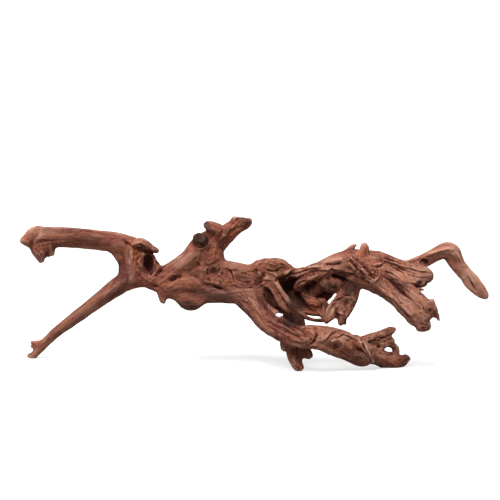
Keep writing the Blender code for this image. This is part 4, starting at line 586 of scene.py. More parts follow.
FRONT_LEDGES = [
    (1.6, 0.8, 262, 100.5, 268, 99.1, 276, 95.1, 283, 93.9),
    (1.8, 2.6, 276, 92.1, 284, 94.9, 288, 97.9, 293, 102.1),
    (1.8, 0.8, 255, 103.5, 259, 107.1, 264, 108.5, 270, 107.1, 275, 104.1),
    (1.6, 0.8, 266, 103.5, 271, 101.9, 276, 101.5, 281, 103.9),
    (1.5, 0.7, 276, 111.5, 279, 107.9, 283, 107.5, 288, 104.9),
    (1.5, 0.7, 256, 87.9, 262, 90.9, 268, 91.9, 274, 90.1), (1.4, 0.7, 257, 83.5, 261, 86.5, 266, 87.9),
    (1.2, 0.9, 293.4, 101.5, 302, 102.9, 311, 103.5, 319, 104.1),
    (2, 1.6, 322, 101.5, 332, 103.5, 340, 101.9, 348, 99.9, 355, 98.1, 363.6, 93.1, 371, 88.5),
    (1, 0.5, 293, 58.5, 288, 63.9, 282.6, 71.5, 278, 80.9),
    (1.6, 0.9, 296, 83.5, 298, 88.5, 303, 90.9, 309, 91.5, 317, 90.9, 322, 94.9, 325.6, 97.5),
    (1.3, 0.8, 302, 80.5, 308, 78.9, 314, 75.1, 320, 72.5),
    (1.4, 0.8, 303, 75.5, 308, 73.9, 314, 72.5, 320, 71.9),
    (1.3, 0.6, 270, 71.5, 267.6, 65.5, 269, 57.5, 273, 51.5),
    (1.6, 0.9, 280, 52.9, 287, 48.1, 294, 42.5, 298, 39.5),
    (1.2, 0.6, 268, 46.5, 276, 40.5, 285, 36.5, 293, 33.5),
    (1.4, 0.8, 293, 38.5, 298, 35.5, 302, 32.9, 304, 29.5),
    (1.3, 0.7, 288, 34.5, 293, 31.1, 299, 29.1, 304, 28.1),
    (1.4, 0.9, 287, 27.9, 293, 26.9, 299, 25.1, 306, 24.1),
    (1.3, 0.7, 308, 40.5, 312, 37.9, 313, 33.9, 311, 29.9), (1.2, 0.6, 300, 41.5, 305, 43.9, 311, 43.5),
    (1.2, 0.8, 322, 29.5, 327, 33.5, 331, 38.5, 337, 40.5),
    (1.4, 1.1, 338, 34.9, 343, 37.5, 349, 35.5, 356, 31.5),
    (1.2, 0.9, 350, 14.5, 355, 16.1, 361, 14.5, 366, 10.5),
    (1.5, 2.6, 370.6, 8.5, 369.4, 13.5, 366, 19.9, 362.6, 26.5, 359.6, 31.9),
    (1.2, 0.9, 367, 29.9, 369.4, 25.5, 371, 20.9, 374, 15.5),
    (1.5, 1.4, 388, 34.9, 382, 32.5, 376, 33.9, 370, 32.9), (1.1, 0.8, 390, 16.5, 396, 12.9, 401, 9.1),
    (1.5, 1.4, 290, 19.5, 291.6, 13.5, 295, 7.5, 299, 2.9), (1.4, 1.1, 334.4, 52.5, 334, 58.5, 336, 62.9),
    (1.2, 0.8, 336, 59.5, 340, 57.5, 346, 55.1), (1.2, 0.9, 331, 68.5, 336, 71.9, 342, 74.9),
    (1.5, 0.6, 351.6, 118.5, 355, 112.9, 361, 108.9, 367, 111.1),
    (1.5, 0.4, 350, 110.5, 354, 105.5, 358, 101.1, 362.6, 96.1),
    (1.4, 0.4, 355, 112.1, 358.6, 106.9, 362, 101.9, 366, 95.9),
    (1.3, 0.3, 359.6, 107.1, 364, 103.1, 369, 98.1),
    (1.2, 0.3, 346, 105.5, 352, 101.9, 358, 96.9, 365, 91.5),
    (1.6, 1.8, 369.4, 106.9, 374, 105.3, 379.6, 106.1, 384, 108.9),
    (1.2, 1, 376, 118.9, 384, 116.1, 392, 111.7, 400, 109.1),
    (1.1, 0.8, 390, 109.5, 397, 106.5, 404, 104.9, 411, 102.9),
    (1.4, 0.7, 371.6, 89.1, 375.4, 89.3, 379, 92.9, 380.4, 97.5, 381, 102.5),
    (1.6, 1.8, 386, 101.1, 392.6, 98.9, 398.4, 94.7, 403, 90.9),
    (1.3, 1, 399.4, 91.9, 406, 89.3, 415, 87.9, 423, 84.5),
    (1.6, 1.5, 411, 70.5, 405, 74.9, 399, 79.9, 393, 86.5, 387, 91.9),
    (1.3, 1.1, 390, 95.5, 397, 91.9, 404, 87.9, 411, 82.5),
    (1.4, 0.7, 390.6, 80.9, 395.6, 76.9, 399.6, 71.5, 403, 66.5),
    (1.3, 0.7, 396, 69.5, 401, 64.5, 407, 58.9, 413, 55.1), (1.1, 0.5, 404, 67.5, 410, 61.5, 416, 54.5),
    (1.1, 0.8, 417, 71.5, 423, 65.5, 427, 59.5), (1.3, 0.7, 412, 47.9, 405, 56.1, 399, 63.5, 393, 70.1),
    (1.8, 1.1, 425, 114.5, 432, 117.1, 440, 119.9, 447, 121.7, 453, 120.9),
    (1.6, 0.8, 453, 120.9, 456.6, 116.5, 459.4, 110.9, 462, 105.5),
    (1.6, 0.8, 466, 97.9, 470, 92.5, 474, 85.5, 478.6, 78.5),
    (1.3, 1.1, 420.6, 109.5, 423, 112.9, 427.6, 111.9, 429.4, 107.5),
    (1.2, 0.8, 406, 108.5, 412, 109.9, 418, 112.5, 423, 115.9),
    (1.5, 0.6, 160, 87.5, 166, 92.1, 172, 95.9, 178, 96.9, 184, 96.5),
    (1.4, 0.3, 180, 92.9, 174, 88.9, 168, 84.9, 163, 80.5),
    (1.6, 0.3, 186, 95.1, 192, 92.1, 197, 88.5, 203, 83.1, 209, 80.1),
    (1.1, 0.5, 165, 101.5, 174, 108.1, 184, 116.1, 190, 124.9),
    (1.5, 0.6, 195.6, 114.5, 196.4, 110.5, 199.6, 106.9, 204, 105.9),
    (1.3, 0.4, 204, 106.1, 210, 107.5, 216, 109.9, 221, 113.5),
    (1.3, 0.4, 192, 124.1, 197, 121.1, 203, 120.9, 209, 123.5),
    (1.3, 0.3, 226, 139.5, 221, 133.5, 216.6, 127.5, 213.6, 121.5, 212, 114.5),
    (1.2, 0.3, 231, 133.5, 225.6, 127.9, 220, 121.9, 217, 115.5),
    (1.1, 0.3, 219, 141.5, 214, 135.5, 210, 129.5, 206.6, 123.5),
    (1.4, 0.5, 219, 140.5, 214, 143.5, 209, 145.9, 205, 148.9),
    (1.3, 0.5, 221.6, 145.5, 223.4, 142.5, 224, 138.5, 221.4, 134.5),
    (1.2, 0.4, 220, 135.5, 226, 133.5, 232, 135.5, 238, 140.5),
    (1.3, 0.5, 229.6, 145.5, 233, 149.1, 236, 152.5, 239, 153.9),
    (1.2, 0.5, 233, 143.5, 237.6, 147.5, 241, 151.1),
    (1.4, 1.3, 219.6, 105.5, 220.6, 101.5, 218.6, 97.5, 214, 94.9),
    (1.3, 0.8, 209, 94.9, 206.6, 97.9, 206.6, 102.1, 209, 105.5),
    (1.3, 0.9, 203, 91.5, 207, 88.9, 211, 87.9, 215, 89.1),
    (1.3, 0.9, 216, 95.5, 220.6, 94.9, 224, 91.9, 225, 87.9),
    (1.2, 0.9, 223, 98.9, 227.6, 97.1, 231, 93.5, 232, 88.9),
    (1.2, 1.1, 227, 102.9, 231.6, 100.9, 234, 96.5, 235, 91.5),
    (1.2, 0.8, 229, 85.5, 233.6, 86.9, 238, 84.9, 243, 84.1),
    (1.6, 0.5, 257, 95.1, 251, 98.5, 244, 100.5, 237, 100.1, 231, 98.5),
    (1.3, 0.5, 232, 94.9, 237, 90.1, 243, 87.9, 250, 87.5, 257, 89.5),
    (1.2, 0.8, 247, 84.5, 252, 85.5, 256, 83.9, 260, 85.1),
    (1.3, 0.5, 130.4, 109.5, 128.6, 113.5, 128.4, 118.9, 130, 123.9, 134, 127.1, 139, 127.9),
    (1.1, 0.4, 134.6, 108.9, 133, 113.9, 133.4, 119.5, 136, 123.1),
    (1.5, 1.4, 155, 115.9, 150, 117.9, 145, 118.9, 140, 118.5, 137, 116.5),
    (1.2, 0.8, 136.6, 127.5, 141, 128.1, 146, 125.1, 151, 121.5, 155.6, 120.1),
    (1, 0.7, 139, 121.9, 143.6, 122.1, 148, 120.1),
    (1.3, 0.9, 141, 114.9, 138, 110.5, 139, 105.5, 142, 100.9),
    (1.3, 1.2, 152.4, 94.5, 148, 96.9, 144.6, 100.5, 142, 105.5),
    (1.3, 0.4, 135, 101.5, 140, 96.9, 146, 91.1, 153, 87.5),
    (1.2, 0.4, 151, 88.9, 156, 93.5, 162, 98.9, 168, 104.5),
    (1.1, 0.8, 153.6, 111.9, 157.6, 108.1, 161.6, 104.1),
    (1.5, 0.5, 31, 122.9, 31.6, 129.5, 34.6, 135.5, 38.6, 141.9),
    (1.1, 0.7, 36, 122.9, 40, 119.5, 43, 115.1), (1.3, 1.3, 391, 105.9, 398, 102.9, 404, 98.1, 409, 92.9),
    (1.2, 1, 404, 106.1, 412, 102.9, 420, 100.5, 429, 98.9), (1.1, 0.7, 410, 96.9, 418, 94.7, 426, 94.5),
    (1.2, 0.8, 411, 88.1, 417, 85.3, 424, 86.9, 430, 91.1),
    (1.5, 0.9, 356, 71.5, 350, 75.1, 342, 75.9, 335, 71.9, 329.6, 66.9),
]
BACK_LINES = [
    (1.2, -1, 44, 139.5, 64, 139.9, 90, 137.5, 114, 132.5),
    (1.2, -0.9, 50, 131.5, 72, 132.5, 96, 129.9, 116, 125.5),
    (1.1, -0.9, 118, 87.5, 98, 72.5, 76, 55.5, 54, 37.5),
    (1, -0.8, 128, 84.5, 108, 70.5, 88, 55.5, 70, 41.5), (2.4, -2.6, 133, 109.5, 137, 105.5),
    (1.2, -1.3, 126, 121.5, 124, 109.5, 126, 97.5, 134, 88.5),
    (1.2, -1.3, 142, 119.5, 146, 107.5, 152, 96.5, 160, 87.5),
    (1.1, -1.1, 118, 125.5, 117, 113.5, 119, 99.5), (1.2, -2.2, 230, 101.5, 216, 95.5, 202, 90.5),
    (1.2, -2, 196, 109.5, 188, 101.5, 180, 94.5), (2.4, -2.6, 206, 99.5, 210, 97.9),
    (1.8, -2.2, 184, 86.5, 187, 84.5), (1.1, -1.1, 176, 105.5, 186, 114.5, 195, 123.5),
    (1.1, -1.1, 190, 77.5, 204, 74.5, 220, 75.5), (1.1, -1.1, 238, 79.5, 222, 72.5, 206, 70.5),
    (1.1, -1.3, 206, 121.5, 208, 131.5, 212, 140.5, 214, 146.5),
    (1.1, -1.3, 220, 121.5, 225, 130.5, 234, 138.5, 243, 145.5), (2, -2.4, 205, 136.5, 207, 133.5),
    (1, -1.2, 230, 145.5, 238, 150.5, 246, 151.9), (1.3, -2.4, 288, 91.5, 274, 93.5, 262, 89.5),
    (2.2, -2.4, 277, 103.5, 279, 102.5), (1.3, -2.4, 344, 105.5, 330, 101.5, 314, 96.5),
    (1.2, -2.2, 338, 87.5, 322, 83.5, 308, 79.5), (1.1, -1.2, 348, 117.5, 334, 114.5, 320, 109.5),
    (2.6, -2.8, 300, 81.5, 304, 79.5), (2.2, -2.4, 284, 79.5, 287, 77.5),
    (1.3, -2.4, 296, 89.5, 290, 79.5, 288, 67.5), (1.1, -1.3, 312, 89.5, 308, 79.5, 306, 67.5),
    (1.2, -1.9, 340, 35.5, 326, 39.5, 312, 40.5), (1.1, -1.1, 352, 19.5, 336, 21.5, 320, 25.5, 304, 29.5),
    (1.1, -1.1, 290, 35.5, 280, 43.5, 270, 50.5), (2, -2.2, 330, 26.5, 333, 25.5),
    (1.2, -2, 402, 11.5, 392, 13.5, 380, 13.5, 370, 11.5), (1, -1.1, 392, 37.5, 382, 35.5, 372, 30.5),
    (1, -1.1, 400, 7.5, 388, 7.5, 376, 10.5), (1.8, -2, 376, 21.5, 378, 20.5),
    (1.3, -2.6, 408, 71.5, 396, 81.5, 384, 86.5), (1.3, -2.4, 420, 49.5, 410, 57.5, 400, 67.5, 390, 73.5),
    (1.2, -2.2, 390, 109.5, 378, 112.5, 366, 113.5), (2.6, -2.6, 372, 99.5, 376, 97.5),
    (2, -2.4, 404, 61.5, 406, 58.5), (1.1, -1.2, 428, 59.5, 418, 71.5, 408, 83.5),
    (1.1, -1.2, 416, 45.5, 404, 55.5, 394, 65.5), (1.2, -2, 428, 93.5, 416, 96.5, 404, 97.5),
    (1, -1.1, 426, 87.5, 416, 89.5, 406, 89.5), (1, -1, 430, 117.5, 442, 122.5, 453, 121.5, 461, 109.5),
    (1, -0.9, 438, 113.5, 448, 113.5, 456, 105.5, 468, 91.5), (1, -0.9, 466, 99.5, 474, 89.5, 482, 77.5),
    (1, -1.1, 292, 51.5, 293, 33.5, 297, 15.5), (1.1, -1.3, 344, 71.5, 338, 63.5, 332, 53.5),
    (1.1, -1.3, 352, 71.5, 346, 61.5, 342, 51.5),
]
BACK_LEDGES = [
    (1.2, 0.5, 120, 121.5, 96, 125.5, 70, 126.9, 52, 125.5),
    (1.8, 1.1, 156, 109.5, 148, 115.5, 140, 119.5, 130, 119.5, 122, 115.5),
    (1.6, 0.8, 176, 93.5, 164, 96.5, 152, 91.5, 140, 85.5),
    (1.8, 1.1, 214, 109.5, 200, 103.5, 186, 95.5, 172, 89.5),
    (1.7, 1, 244, 95.5, 226, 89.5, 206, 84.5, 188, 80.5),
    (1.6, 0.9, 212, 115.5, 214, 125.5, 220, 133.5, 230, 141.5),
    (1.8, 1.1, 290, 103.5, 280, 107.5, 270, 108.5, 260, 105.5),
    (1.6, 1, 296, 95.5, 284, 99.5, 270, 99.5, 256, 97.5),
    (1.8, 1.1, 350, 113.5, 334, 109.5, 316, 103.5, 300, 99.5),
    (1.7, 1, 356, 99.5, 338, 95.5, 320, 90.5, 302, 87.5),
    (1.8, 1.1, 340, 77.5, 324, 75.5, 306, 72.5, 290, 73.5),
    (1.7, 1, 318, 63.5, 302, 63.5, 286, 67.5, 274, 74.5),
    (1.6, 0.9, 310, 41.5, 296, 45.5, 282, 51.5, 270, 59.5),
    (1.6, 0.9, 350, 25.5, 334, 31.5, 318, 34.5, 302, 34.5),
    (1.6, 0.9, 396, 25.5, 386, 29.5, 374, 27.5, 364, 21.5),
    (1.8, 1.1, 396, 101.5, 382, 105.5, 368, 107.5, 354, 105.5),
    (1.8, 1.1, 406, 79.5, 392, 87.5, 378, 92.5, 362, 93.5),
    (1.7, 1, 424, 55.5, 412, 67.5, 400, 77.5, 386, 81.5),
    (1.6, 0.9, 430, 101.5, 420, 105.5, 410, 107.5, 398, 107.5),
    (1.5, 0.8, 303, 49.5, 302, 37.5, 304, 23.5, 303, 9.5),
]
FINE_RELIEF = {
    "front": FRONT_LINES, "front ledge": FRONT_LEDGES, "back": BACK_LINES, "back ledge": BACK_LEDGES,
}

# Thin walls at the back of the hollows, and small knobs and torn ends: columns as for the strands.
DETAILS = {
    "mass_wall": [
        (298, 84, 12, 9, 5), (310, 86, 10, 10, 5), (324, 90, 9, 10, 5), (338, 93, 9, 8, 5),
        (350, 92, 10, 7, 5),
    ],
    "curtain_foot": [(304, 60, 4, 3, 4), (310, 59.4, 2, 3.6, 4), (318, 58, 0, 3.4, 4)],
    "trench_fill": [(392, 99, -1, 4, 5), (400, 95, -1, 4.6, 5), (408, 90.5, 0, 4.6, 5), (415, 86, 1, 4, 4)],
    "twig_flare": [(361.6, 117, -4, 5, 5), (367.4, 122, -4, 3, 4), (367, 126.4, -4, 1.8, 2.6)],
    "flap_web": [(133, 124, 3, 4, 3), (141, 124.6, 3, 4, 3), (148, 121, 4, 4, 3)],
    "stub_plug": [(200.4, 133.4, -14.6, 6.2, 5.6), (201, 132, -10, 6, 6), (202, 130.5, -5, 4.4, 4.4)],
    "shoulder_fill": [(265, 81, -6, 3.6, 4), (270, 73, -4, 5.4, 5), (276, 64, -2, 4.6, 4)],
    "wing_plug": [(418, 90, 2, 3.6, 3), (420, 90, 9, 3.6, 3.4)],
    "burl_nib": [(281.4, 109.6, -2, 2, 2.6), (283, 112.4, -2, 1.3, 1.8)],
    "burl_nib_low": [(285.6, 105.6, -4, 2.2, 2.6), (288.4, 107.4, -4, 1.4, 1.8)],
    "burl_chip": [(289, 103.6, -4, 2.2, 2.4), (292, 104.4, -4, 1.2, 1.6)],
    "burl_crumb": [(265.6, 110, -3, 2, 2.6), (267, 113, -3, 1.2, 1.6)],
}
INSIDE = INNER | DETAILS

# How gnarled each strand is: 1 for a rough one. Those not named are rough.
GNARL = {
    "upper_arm": 0.2, "arm_end_spur": 0.3, "arm_end_knob": 0.3, "lower_arm": 0.15, "tip_heel": 0.3,
    "tip_twig_upper": 0.2, "tip_twig_lower": 0.2, "neck": 0.4, "knuckle": 0.3, "knuckle_cup": 0.4,
    "body": 0.35, "body_ridge": 0.3, "belly": 0.25, "valley": 0.4, "antler_base": 0.5, "spike": 0.4,
    "far_branch": 0.4, "brace_thin": 0.2, "brace_wide": 0.4, "twig_hooked": 0.2, "twig_blunt": 0.3,
    "tiny_twig": 0.2, "hanger_left": 0.6, "hanger_right": 0.6, "leg": 0.6, "lower_limb": 0.6,
    "left_antler": 0.5, "right_antler": 0.6, "arm_web": 0.3, "inner_mass": 0.8, "inner_strip": 0.6,
    "inner_sheet": 0.5, "mass_wall": 0.4, "wing_lobe": 0.6, "beam": 0.7, "right_limb": 0.75,
    "twig_flare": 0.4, "stub_plug": 0.4,
}
# Where the wood swelled into a lumpy burl.
BURL = {"burl": 1.0, "burl_tip": 0.6, "burl_front": 1.0, "antler_base": 0.5, "gnarl": 0.6, "body": 0.25}

# The openness of a point is felt this far out, by this many rays that start this far off the skin.
OPEN_REACH = 45.0
OPEN_RAYS = 14
OPEN_LIFT = 0.3
OPEN_SEED = 11
GOLDEN_ANGLE = math.pi * (3 - math.sqrt(5))
OPEN_SOFTENING = 3
# A crest is what stands over the skin after this many rounds of softening.
CRESTS = {"crest_fine": 3, "crest_broad": 24}

# Patches of tone on the front: x, height, reach across, reach up, share.
MARKS = {
    # Pale patches: partly painted highlights on lit tops, partly paler wood.
    "pale": [
        (452, 122, 11, 7, 1.2), (436, 119, 10, 3, 0.8), (476, 88, 5, 12, 0.5), (333, 110, 14, 5, 0.9),
        (400, 98, 6, 4, 0.8), (420, 96, 10, 6, 0.4), (400, 78, 4, 4, 0.5), (322, 32, 9, 7, 0.7),
        (344, 34, 9, 4, 0.7), (367, 21, 4, 12, 0.9), (383, 38, 8, 3, 0.5), (330, 58, 5, 9, 0.6),
        (340, 58, 3, 3, 0.7), (297, 25.8, 8, 2, 0.9), (289, 72, 10, 10, 0.4), (235, 105, 12, 5, 0.5),
        (228, 78, 30, 3, 0.4), (372, 114, 7, 3, 0.6), (90, 60, 14, 12, 0.3), (130, 118, 2, 8, 0.6),
        (40, 140, 16, 3, 0.5), (392, 105, 12, 3, 0.5), (374, 92, 4, 6, 0.4), (428, 48, 6, 5, 0.3),
        (405, 66, 28, 16, 0.55), (385, 24, 22, 13, 0.45), (470, 94, 14, 24, 1.1), (222, 77, 22, 5, 0.6),
        (250, 92, 20, 5, 0.3), (415, 97, 19, 9, 0.9), (376, 86, 16, 9, 0.4), (183, 112, 12, 8, 0.4),
        (330, 32, 20, 8, 0.3), (425, 54, 10, 10, 0.4), (180, 112, 9, 8, 0.7), (237, 108.4, 12, 3, 0.6),
        (238, 78, 15, 3, 0.4), (404, 76, 10, 9, 0.4),
    ],
    # Dark patches: partly painted shade under limbs, in recesses and on the leg behind, partly darker wood.
    "dark": [
        (80, 132, 22, 4, 0.7), (401, 85, 8, 5, 0.9), (393, 91, 6, 4, 0.7), (425, 110, 3.4, 3.4, 0.9),
        (318, 51.5, 8, 2, 0.9), (294, 50, 10, 6, 0.9), (267, 79, 5, 7, 0.7), (303, 16, 6, 8, 0.5),
        (343.5, 92, 3, 5, 0.9), (286, 85, 5, 6, 0.7), (374, 30, 5, 3, 0.7), (406, 15, 4, 4, 0.8),
        (393, 25, 4, 6, 0.5), (346, 69, 5, 4, 0.6), (192, 68, 16, 4, 0.5), (406, 55, 6, 5, 0.3),
        (198, 133.5, 6, 4, 0.6), (388, 17, 5, 2, 0.6), (300, 78, 5, 6, 0.5), (420, 89, 2.4, 2.4, 0.9),
        (337, 25, 2, 2, 0.9), (214, 101, 3.4, 2.6, 0.6), (430, 60, 3, 3, 0.6), (279, 33, 6, 3, 0.4),
        (297, 71, 8, 9, 2.0), (331, 86, 12, 9, 0.9), (293, 51, 11, 7, 2.0), (200, 133, 8.6, 6.2, 2.0),
        (308, 80, 10, 6, 1.0), (323, 68, 5, 4, 0.8), (313, 54, 12, 2, 0.8), (268, 74, 7, 10, 0.8),
        (349, 84, 8, 6, 2.0), (189, 67, 14, 5, 1.0), (196, 95, 4, 2.6, 0.8), (213.5, 100.6, 4.6, 3.4, 1.4),
        (217, 85, 9, 3.4, 0.8), (243, 95, 11, 4.4, 0.6), (203, 88, 5, 4, 0.5), (206, 148, 4, 4, 1.0),
        (246, 149, 6, 4, 0.9), (258, 100, 5, 7, 0.5), (302, 83, 12, 4, 0.6), (172, 91.6, 5, 2.4, 0.7),
        (214, 90, 55, 28, 0.4), (272, 103, 20, 10, 0.5), (419.4, 88.8, 2.8, 2.2, 2.0),
        (426.3, 89.1, 1.3, 1.6, 1.6), (330, 76, 30, 18, 0.2), (190, 65, 15, 5, 0.9), (205, 92, 7, 5, 0.6),
        (219, 101, 7, 4, 0.6), (203, 112, 6, 4, 0.4), (202, 126.4, 8, 3, 1.0), (214, 136, 8, 6, 0.4),
        (243, 153, 5, 3, 0.8), (227, 142, 4, 3, 0.6), (250, 92, 8, 6, 0.3), (198, 100, 4, 4, 0.4),
        (26, 128, 4, 5, 0.25),
    ],
    "warm": [
        (136, 118, 4, 8, 0.8), (313, 67, 5, 5, 0.9), (400, 97, 6, 4, 0.6), (395, 10, 8, 5, 0.5),
        (356, 28, 4, 3, 0.6), (270, 104, 16, 6, 0.4), (262, 94, 8, 6, 0.4), (320, 25, 8, 2, 0.6),
        (296, 84, 3, 4, 0.5), (363, 120, 4, 6, 0.4), (392, 42, 3, 3, 0.5), (312, 36, 5, 6, 0.4),
        (220, 94, 6, 4, 0.4), (216, 137, 6, 7, 0.35), (232, 140, 7, 4, 0.4), (213, 118, 8, 6, 0.3),
        (240, 148, 5, 4, 0.4), (275, 108, 12, 4, 0.4), (228, 88, 6, 5, 0.3), (347, 44, 5, 3, 0.3),
        (320, 92, 14, 3, 0.3), (388, 18, 14, 6, 0.3), (418, 56, 12, 10, 0.25), (178, 88, 12, 5, 0.25),
        (380, 30, 5, 4, 0.4),
    ],
}
# Patches that wore smooth, on the front and at the back: the same columns.
SMOOTH_FRONT = [(416, 95, 15, 9, 0.8), (332, 108, 16, 6, 0.7), (400, 97, 10, 5, 0.6)]
SMOOTH_BACK = [(416, 95, 15, 9, 0.8)]
# A mark has this share of its strength where the skin is seen edge on, and gains so fast as it turns.
FACING_EDGE = 0.4
FACING_GAIN = 2.0


def stand_up(points):
    """Turns points of the front view, in millimetres, to the upright frame, in metres."""
    points = np.array(points, float)
    centre = np.array(VIEW_CENTRE)
    points[:, [0, 2]] += (points[:, [0, 2]] - centre) * points[:, 1:2] / VIEW_DISTANCE
    moved = (points - (MIDDLE_X, MIDDLE_DEPTH, 0)) @ view_turn().T
    moved[:, 2] -= SURFACE
    return moved * MM


def lie_down(points):
    """The other way: from the upright frame to x, depth and height in the front view."""
    turned = (np.array(points, float) / MM + (0, 0, SURFACE)) @ view_turn() + (MIDDLE_X, MIDDLE_DEPTH, 0)
    centre = np.array(VIEW_CENTRE)
    nearness = 1 + turned[:, 1:2] / VIEW_DISTANCE
    turned[:, [0, 2]] = (turned[:, [0, 2]] + centre * (nearness - 1)) / nearness
    return turned


def view_turn():
    """The turn from the front view to the upright frame."""
    lean = Matrix.Rotation(-LEAN, 3, "Y")
    look = Matrix.Rotation(-LOOK_DOWN, 3, "X")
    return np.array(look @ lean)


# Strands

def smooth_run(stations):
    """The stations joined by a Catmull-Rom curve, with a ring every RING_STEP: x, depth, height, half width
    and half depth."""
    rows = np.array([(x, depth, height, w, d) for x, height, depth, w, d in stations], float)
    ends = np.vstack([2 * rows[0] - rows[1], rows, 2 * rows[-1] - rows[-2]])
    run = []
    for a, b, c, d in zip(ends, ends[1:], ends[2:], ends[3:]):
        rings = max(2, math.ceil(np.linalg.norm((c - b)[:3]) / RING_STEP))
        for t in np.linspace(0, 1, rings, endpoint=False):
            bent = (2 * a - 5 * b + 4 * c - d) * t**2 + (3 * (b - c) + d - a) * t**3
            run.append(0.5 * (2 * b + (c - a) * t + bent))
    run.append(rows[-1])
    return np.array(run)


def run_frame(run):
    """The run's centre line with its two cross directions, and the length along it."""
    centre = run[:, :3]
    along = np.gradient(centre, axis=0)
    along /= np.linalg.norm(along, axis=1, keepdims=True)
    across = np.stack([-along[:, 2], np.zeros(len(run)), along[:, 0]], axis=1)
    across[np.hypot(along[:, 0], along[:, 2]) < STRAIGHT_IN] = (1, 0, 0)
    across /= np.linalg.norm(across, axis=1, keepdims=True)
    inward = np.cross(along, across)
    inward /= np.linalg.norm(inward, axis=1, keepdims=True)
    length = np.r_[0, np.cumsum(np.linalg.norm(np.diff(centre, axis=0), axis=1))]
    return centre, across, inward, length


def rings_of(stations, seed):
    """Rings of points round the run: ovals whose rim is fluted, with the flutes winding slowly along it."""
    rng = np.random.default_rng(seed)
    run = smooth_run(stations)
    centre, across, inward, length = run_frame(run)
    angle = np.linspace(0, 2 * math.pi, RING_SIDES, endpoint=False)
    rim = np.ones((len(run), RING_SIDES))
    for lobes, share in LOBES:
        phase = rng.uniform(0, 2 * math.pi) + rng.uniform(-LOBE_TWIST, LOBE_TWIST) * length
        rim += FLUTES * share * np.cos(lobes * angle + phase[:, None])
    wide = (run[:, 3, None] * rim * np.cos(angle))[:, :, None] * across[:, None, :]
    deep = (run[:, 4, None] * rim * np.sin(angle))[:, :, None] * inward[:, None, :]
    return centre[:, None, :] + wide + deep


def add_strand(shape, stations, seed):
    """Lofts one strand into the bmesh, closed by a fan at each end."""
    rings = rings_of(stations, seed)
    count = len(rings)
    points = stand_up(rings.reshape(-1, 3))
    verts = [shape.verts.new(p) for p in points]
    faces = []
    for i in range(count - 1):
        for j in range(RING_SIDES):
            k = (j + 1) % RING_SIDES
            row, after = i * RING_SIDES, (i + 1) * RING_SIDES
            corners = (verts[row + j], verts[row + k], verts[after + k], verts[after + j])
            faces.append(shape.faces.new(corners))
    for row in (0, (count - 1) * RING_SIDES):
        ring = verts[row : row + RING_SIDES]
        hub = shape.verts.new(sum((v.co for v in ring), Vector()) / RING_SIDES)
        for j in range(RING_SIDES):
            faces.append(shape.faces.new((ring[j], ring[(j + 1) % RING_SIDES], hub)))
    bmesh.ops.recalc_face_normals(shape, faces=faces)


def mesh_of(name, strands):
    """One object that holds all these strands, which still cross each other."""
    shape = bmesh.new()
    for number, stations in enumerate(strands.values()):
        add_strand(shape, stations, number)
    mesh = bpy.data.meshes.new(name)
    shape.to_mesh(mesh)
    shape.free()
    obj = bpy.data.objects.new(name, mesh)
    bpy.context.scene.collection.objects.link(obj)
    return obj


# The skin

def add_skin(obj, cell, rounds):
    """A closed skin of even cells over the object, with its joins softened."""
    skin = obj.modifiers.new("skin", "REMESH")
    skin.mode = "VOXEL"
    skin.voxel_size = cell * MM
    soften = obj.modifiers.new("soften", "SMOOTH")
    soften.factor = 0.5
    soften.iterations = rounds


def baked(obj):
    """The object's mesh with its modifiers worked in."""
    return bpy.data.meshes.new_from_object(obj.evaluated_get(bpy.context.evaluated_depsgraph_get()))


def formed_skin():
    """The strands' common skin, hollowed and swollen a little unevenly, in fine cells."""
    hollows = mesh_of("hollows", HOLLOWS)
    add_skin(hollows, COARSE_CELL, 1)
    rough = mesh_of("rough", STRANDS)
    add_skin(rough, COARSE_CELL, COARSE_SOFTENING)
    inner = mesh_of("inner", INSIDE)
    add_skin(inner, COARSE_CELL, 1)
    for other, operation in ((hollows, "DIFFERENCE"), (inner, "UNION")):
        made = rough.modifiers.new(other.name, "BOOLEAN")
        made.operation = operation
        made.solver = "EXACT"
        made.object = other
    add_skin(rough, FINE_CELL, FINE_SOFTENING)
    swell = rough.modifiers.new("swell", "DISPLACE")
    swell.texture = bpy.data.textures.new("swell", "CLOUDS")
    swell.texture.noise_scale = SWELL_SIZE * MM
    swell.texture_coords = "LOCAL"
    swell.strength = SWELL_HEIGHT * MM
    swell.mid_level = 0.5
    skin = baked(rough)
    for obj in (rough, hollows, inner):
        bpy.data.objects.remove(obj)
    return skin


def points_of(mesh):
    points = np.empty(len(mesh.vertices) * 3, np.float32)
    mesh.vertices.foreach_get("co", points)
    return points.reshape(-1, 3).astype(float)


def normals_of(mesh):
    normals = np.empty(len(mesh.vertices) * 3, np.float32)
    mesh.vertex_normals.foreach_get("vector", normals)
    return normals.reshape(-1, 3).astype(float)


def tree_of(mesh):
    return BVHTree.FromPolygons(points_of(mesh).tolist(), [tuple(face.vertices) for face in mesh.polygons])


def line_on_skin(tree, side, points):
    """The line's points, spaced LINE_STEP apart, where they first meet the skin from that side."""
    way = 1 if side == "front" else -1
    found = []
    for (x0, height0), (x1, height1) in zip(points, points[1:]):
        steps = max(1, math.ceil(math.hypot(x1 - x0, height1 - height0) / LINE_STEP))
        for t in np.linspace(0, 1, steps + 1):
            x, height = x0 + t * (x1 - x0), height0 + t * (height1 - height0)
            start, end = stand_up([(x, -way * OUTSIDE, height), (x, way * OUTSIDE, height)])
            hit = tree.ray_cast(Vector(start), Vector(end - start))[0]
            if hit:
                found.append(hit)
    return np.array(found)


def settle_joins(mesh, share):
    """Draws the skin smooth where two strands meet, as wood that grew together."""
    points, edges = points_of(mesh), edges_of(mesh)
    smooth = softened(points, edges, JOIN_ROUNDS)
    joined = softened(np.clip(2 * share, 0, 1), edges, JOIN_SPREAD)
    points += (smooth - points) * joined[:, None]
    mesh.vertices.foreach_set("co", points.ravel())
    mesh.update()


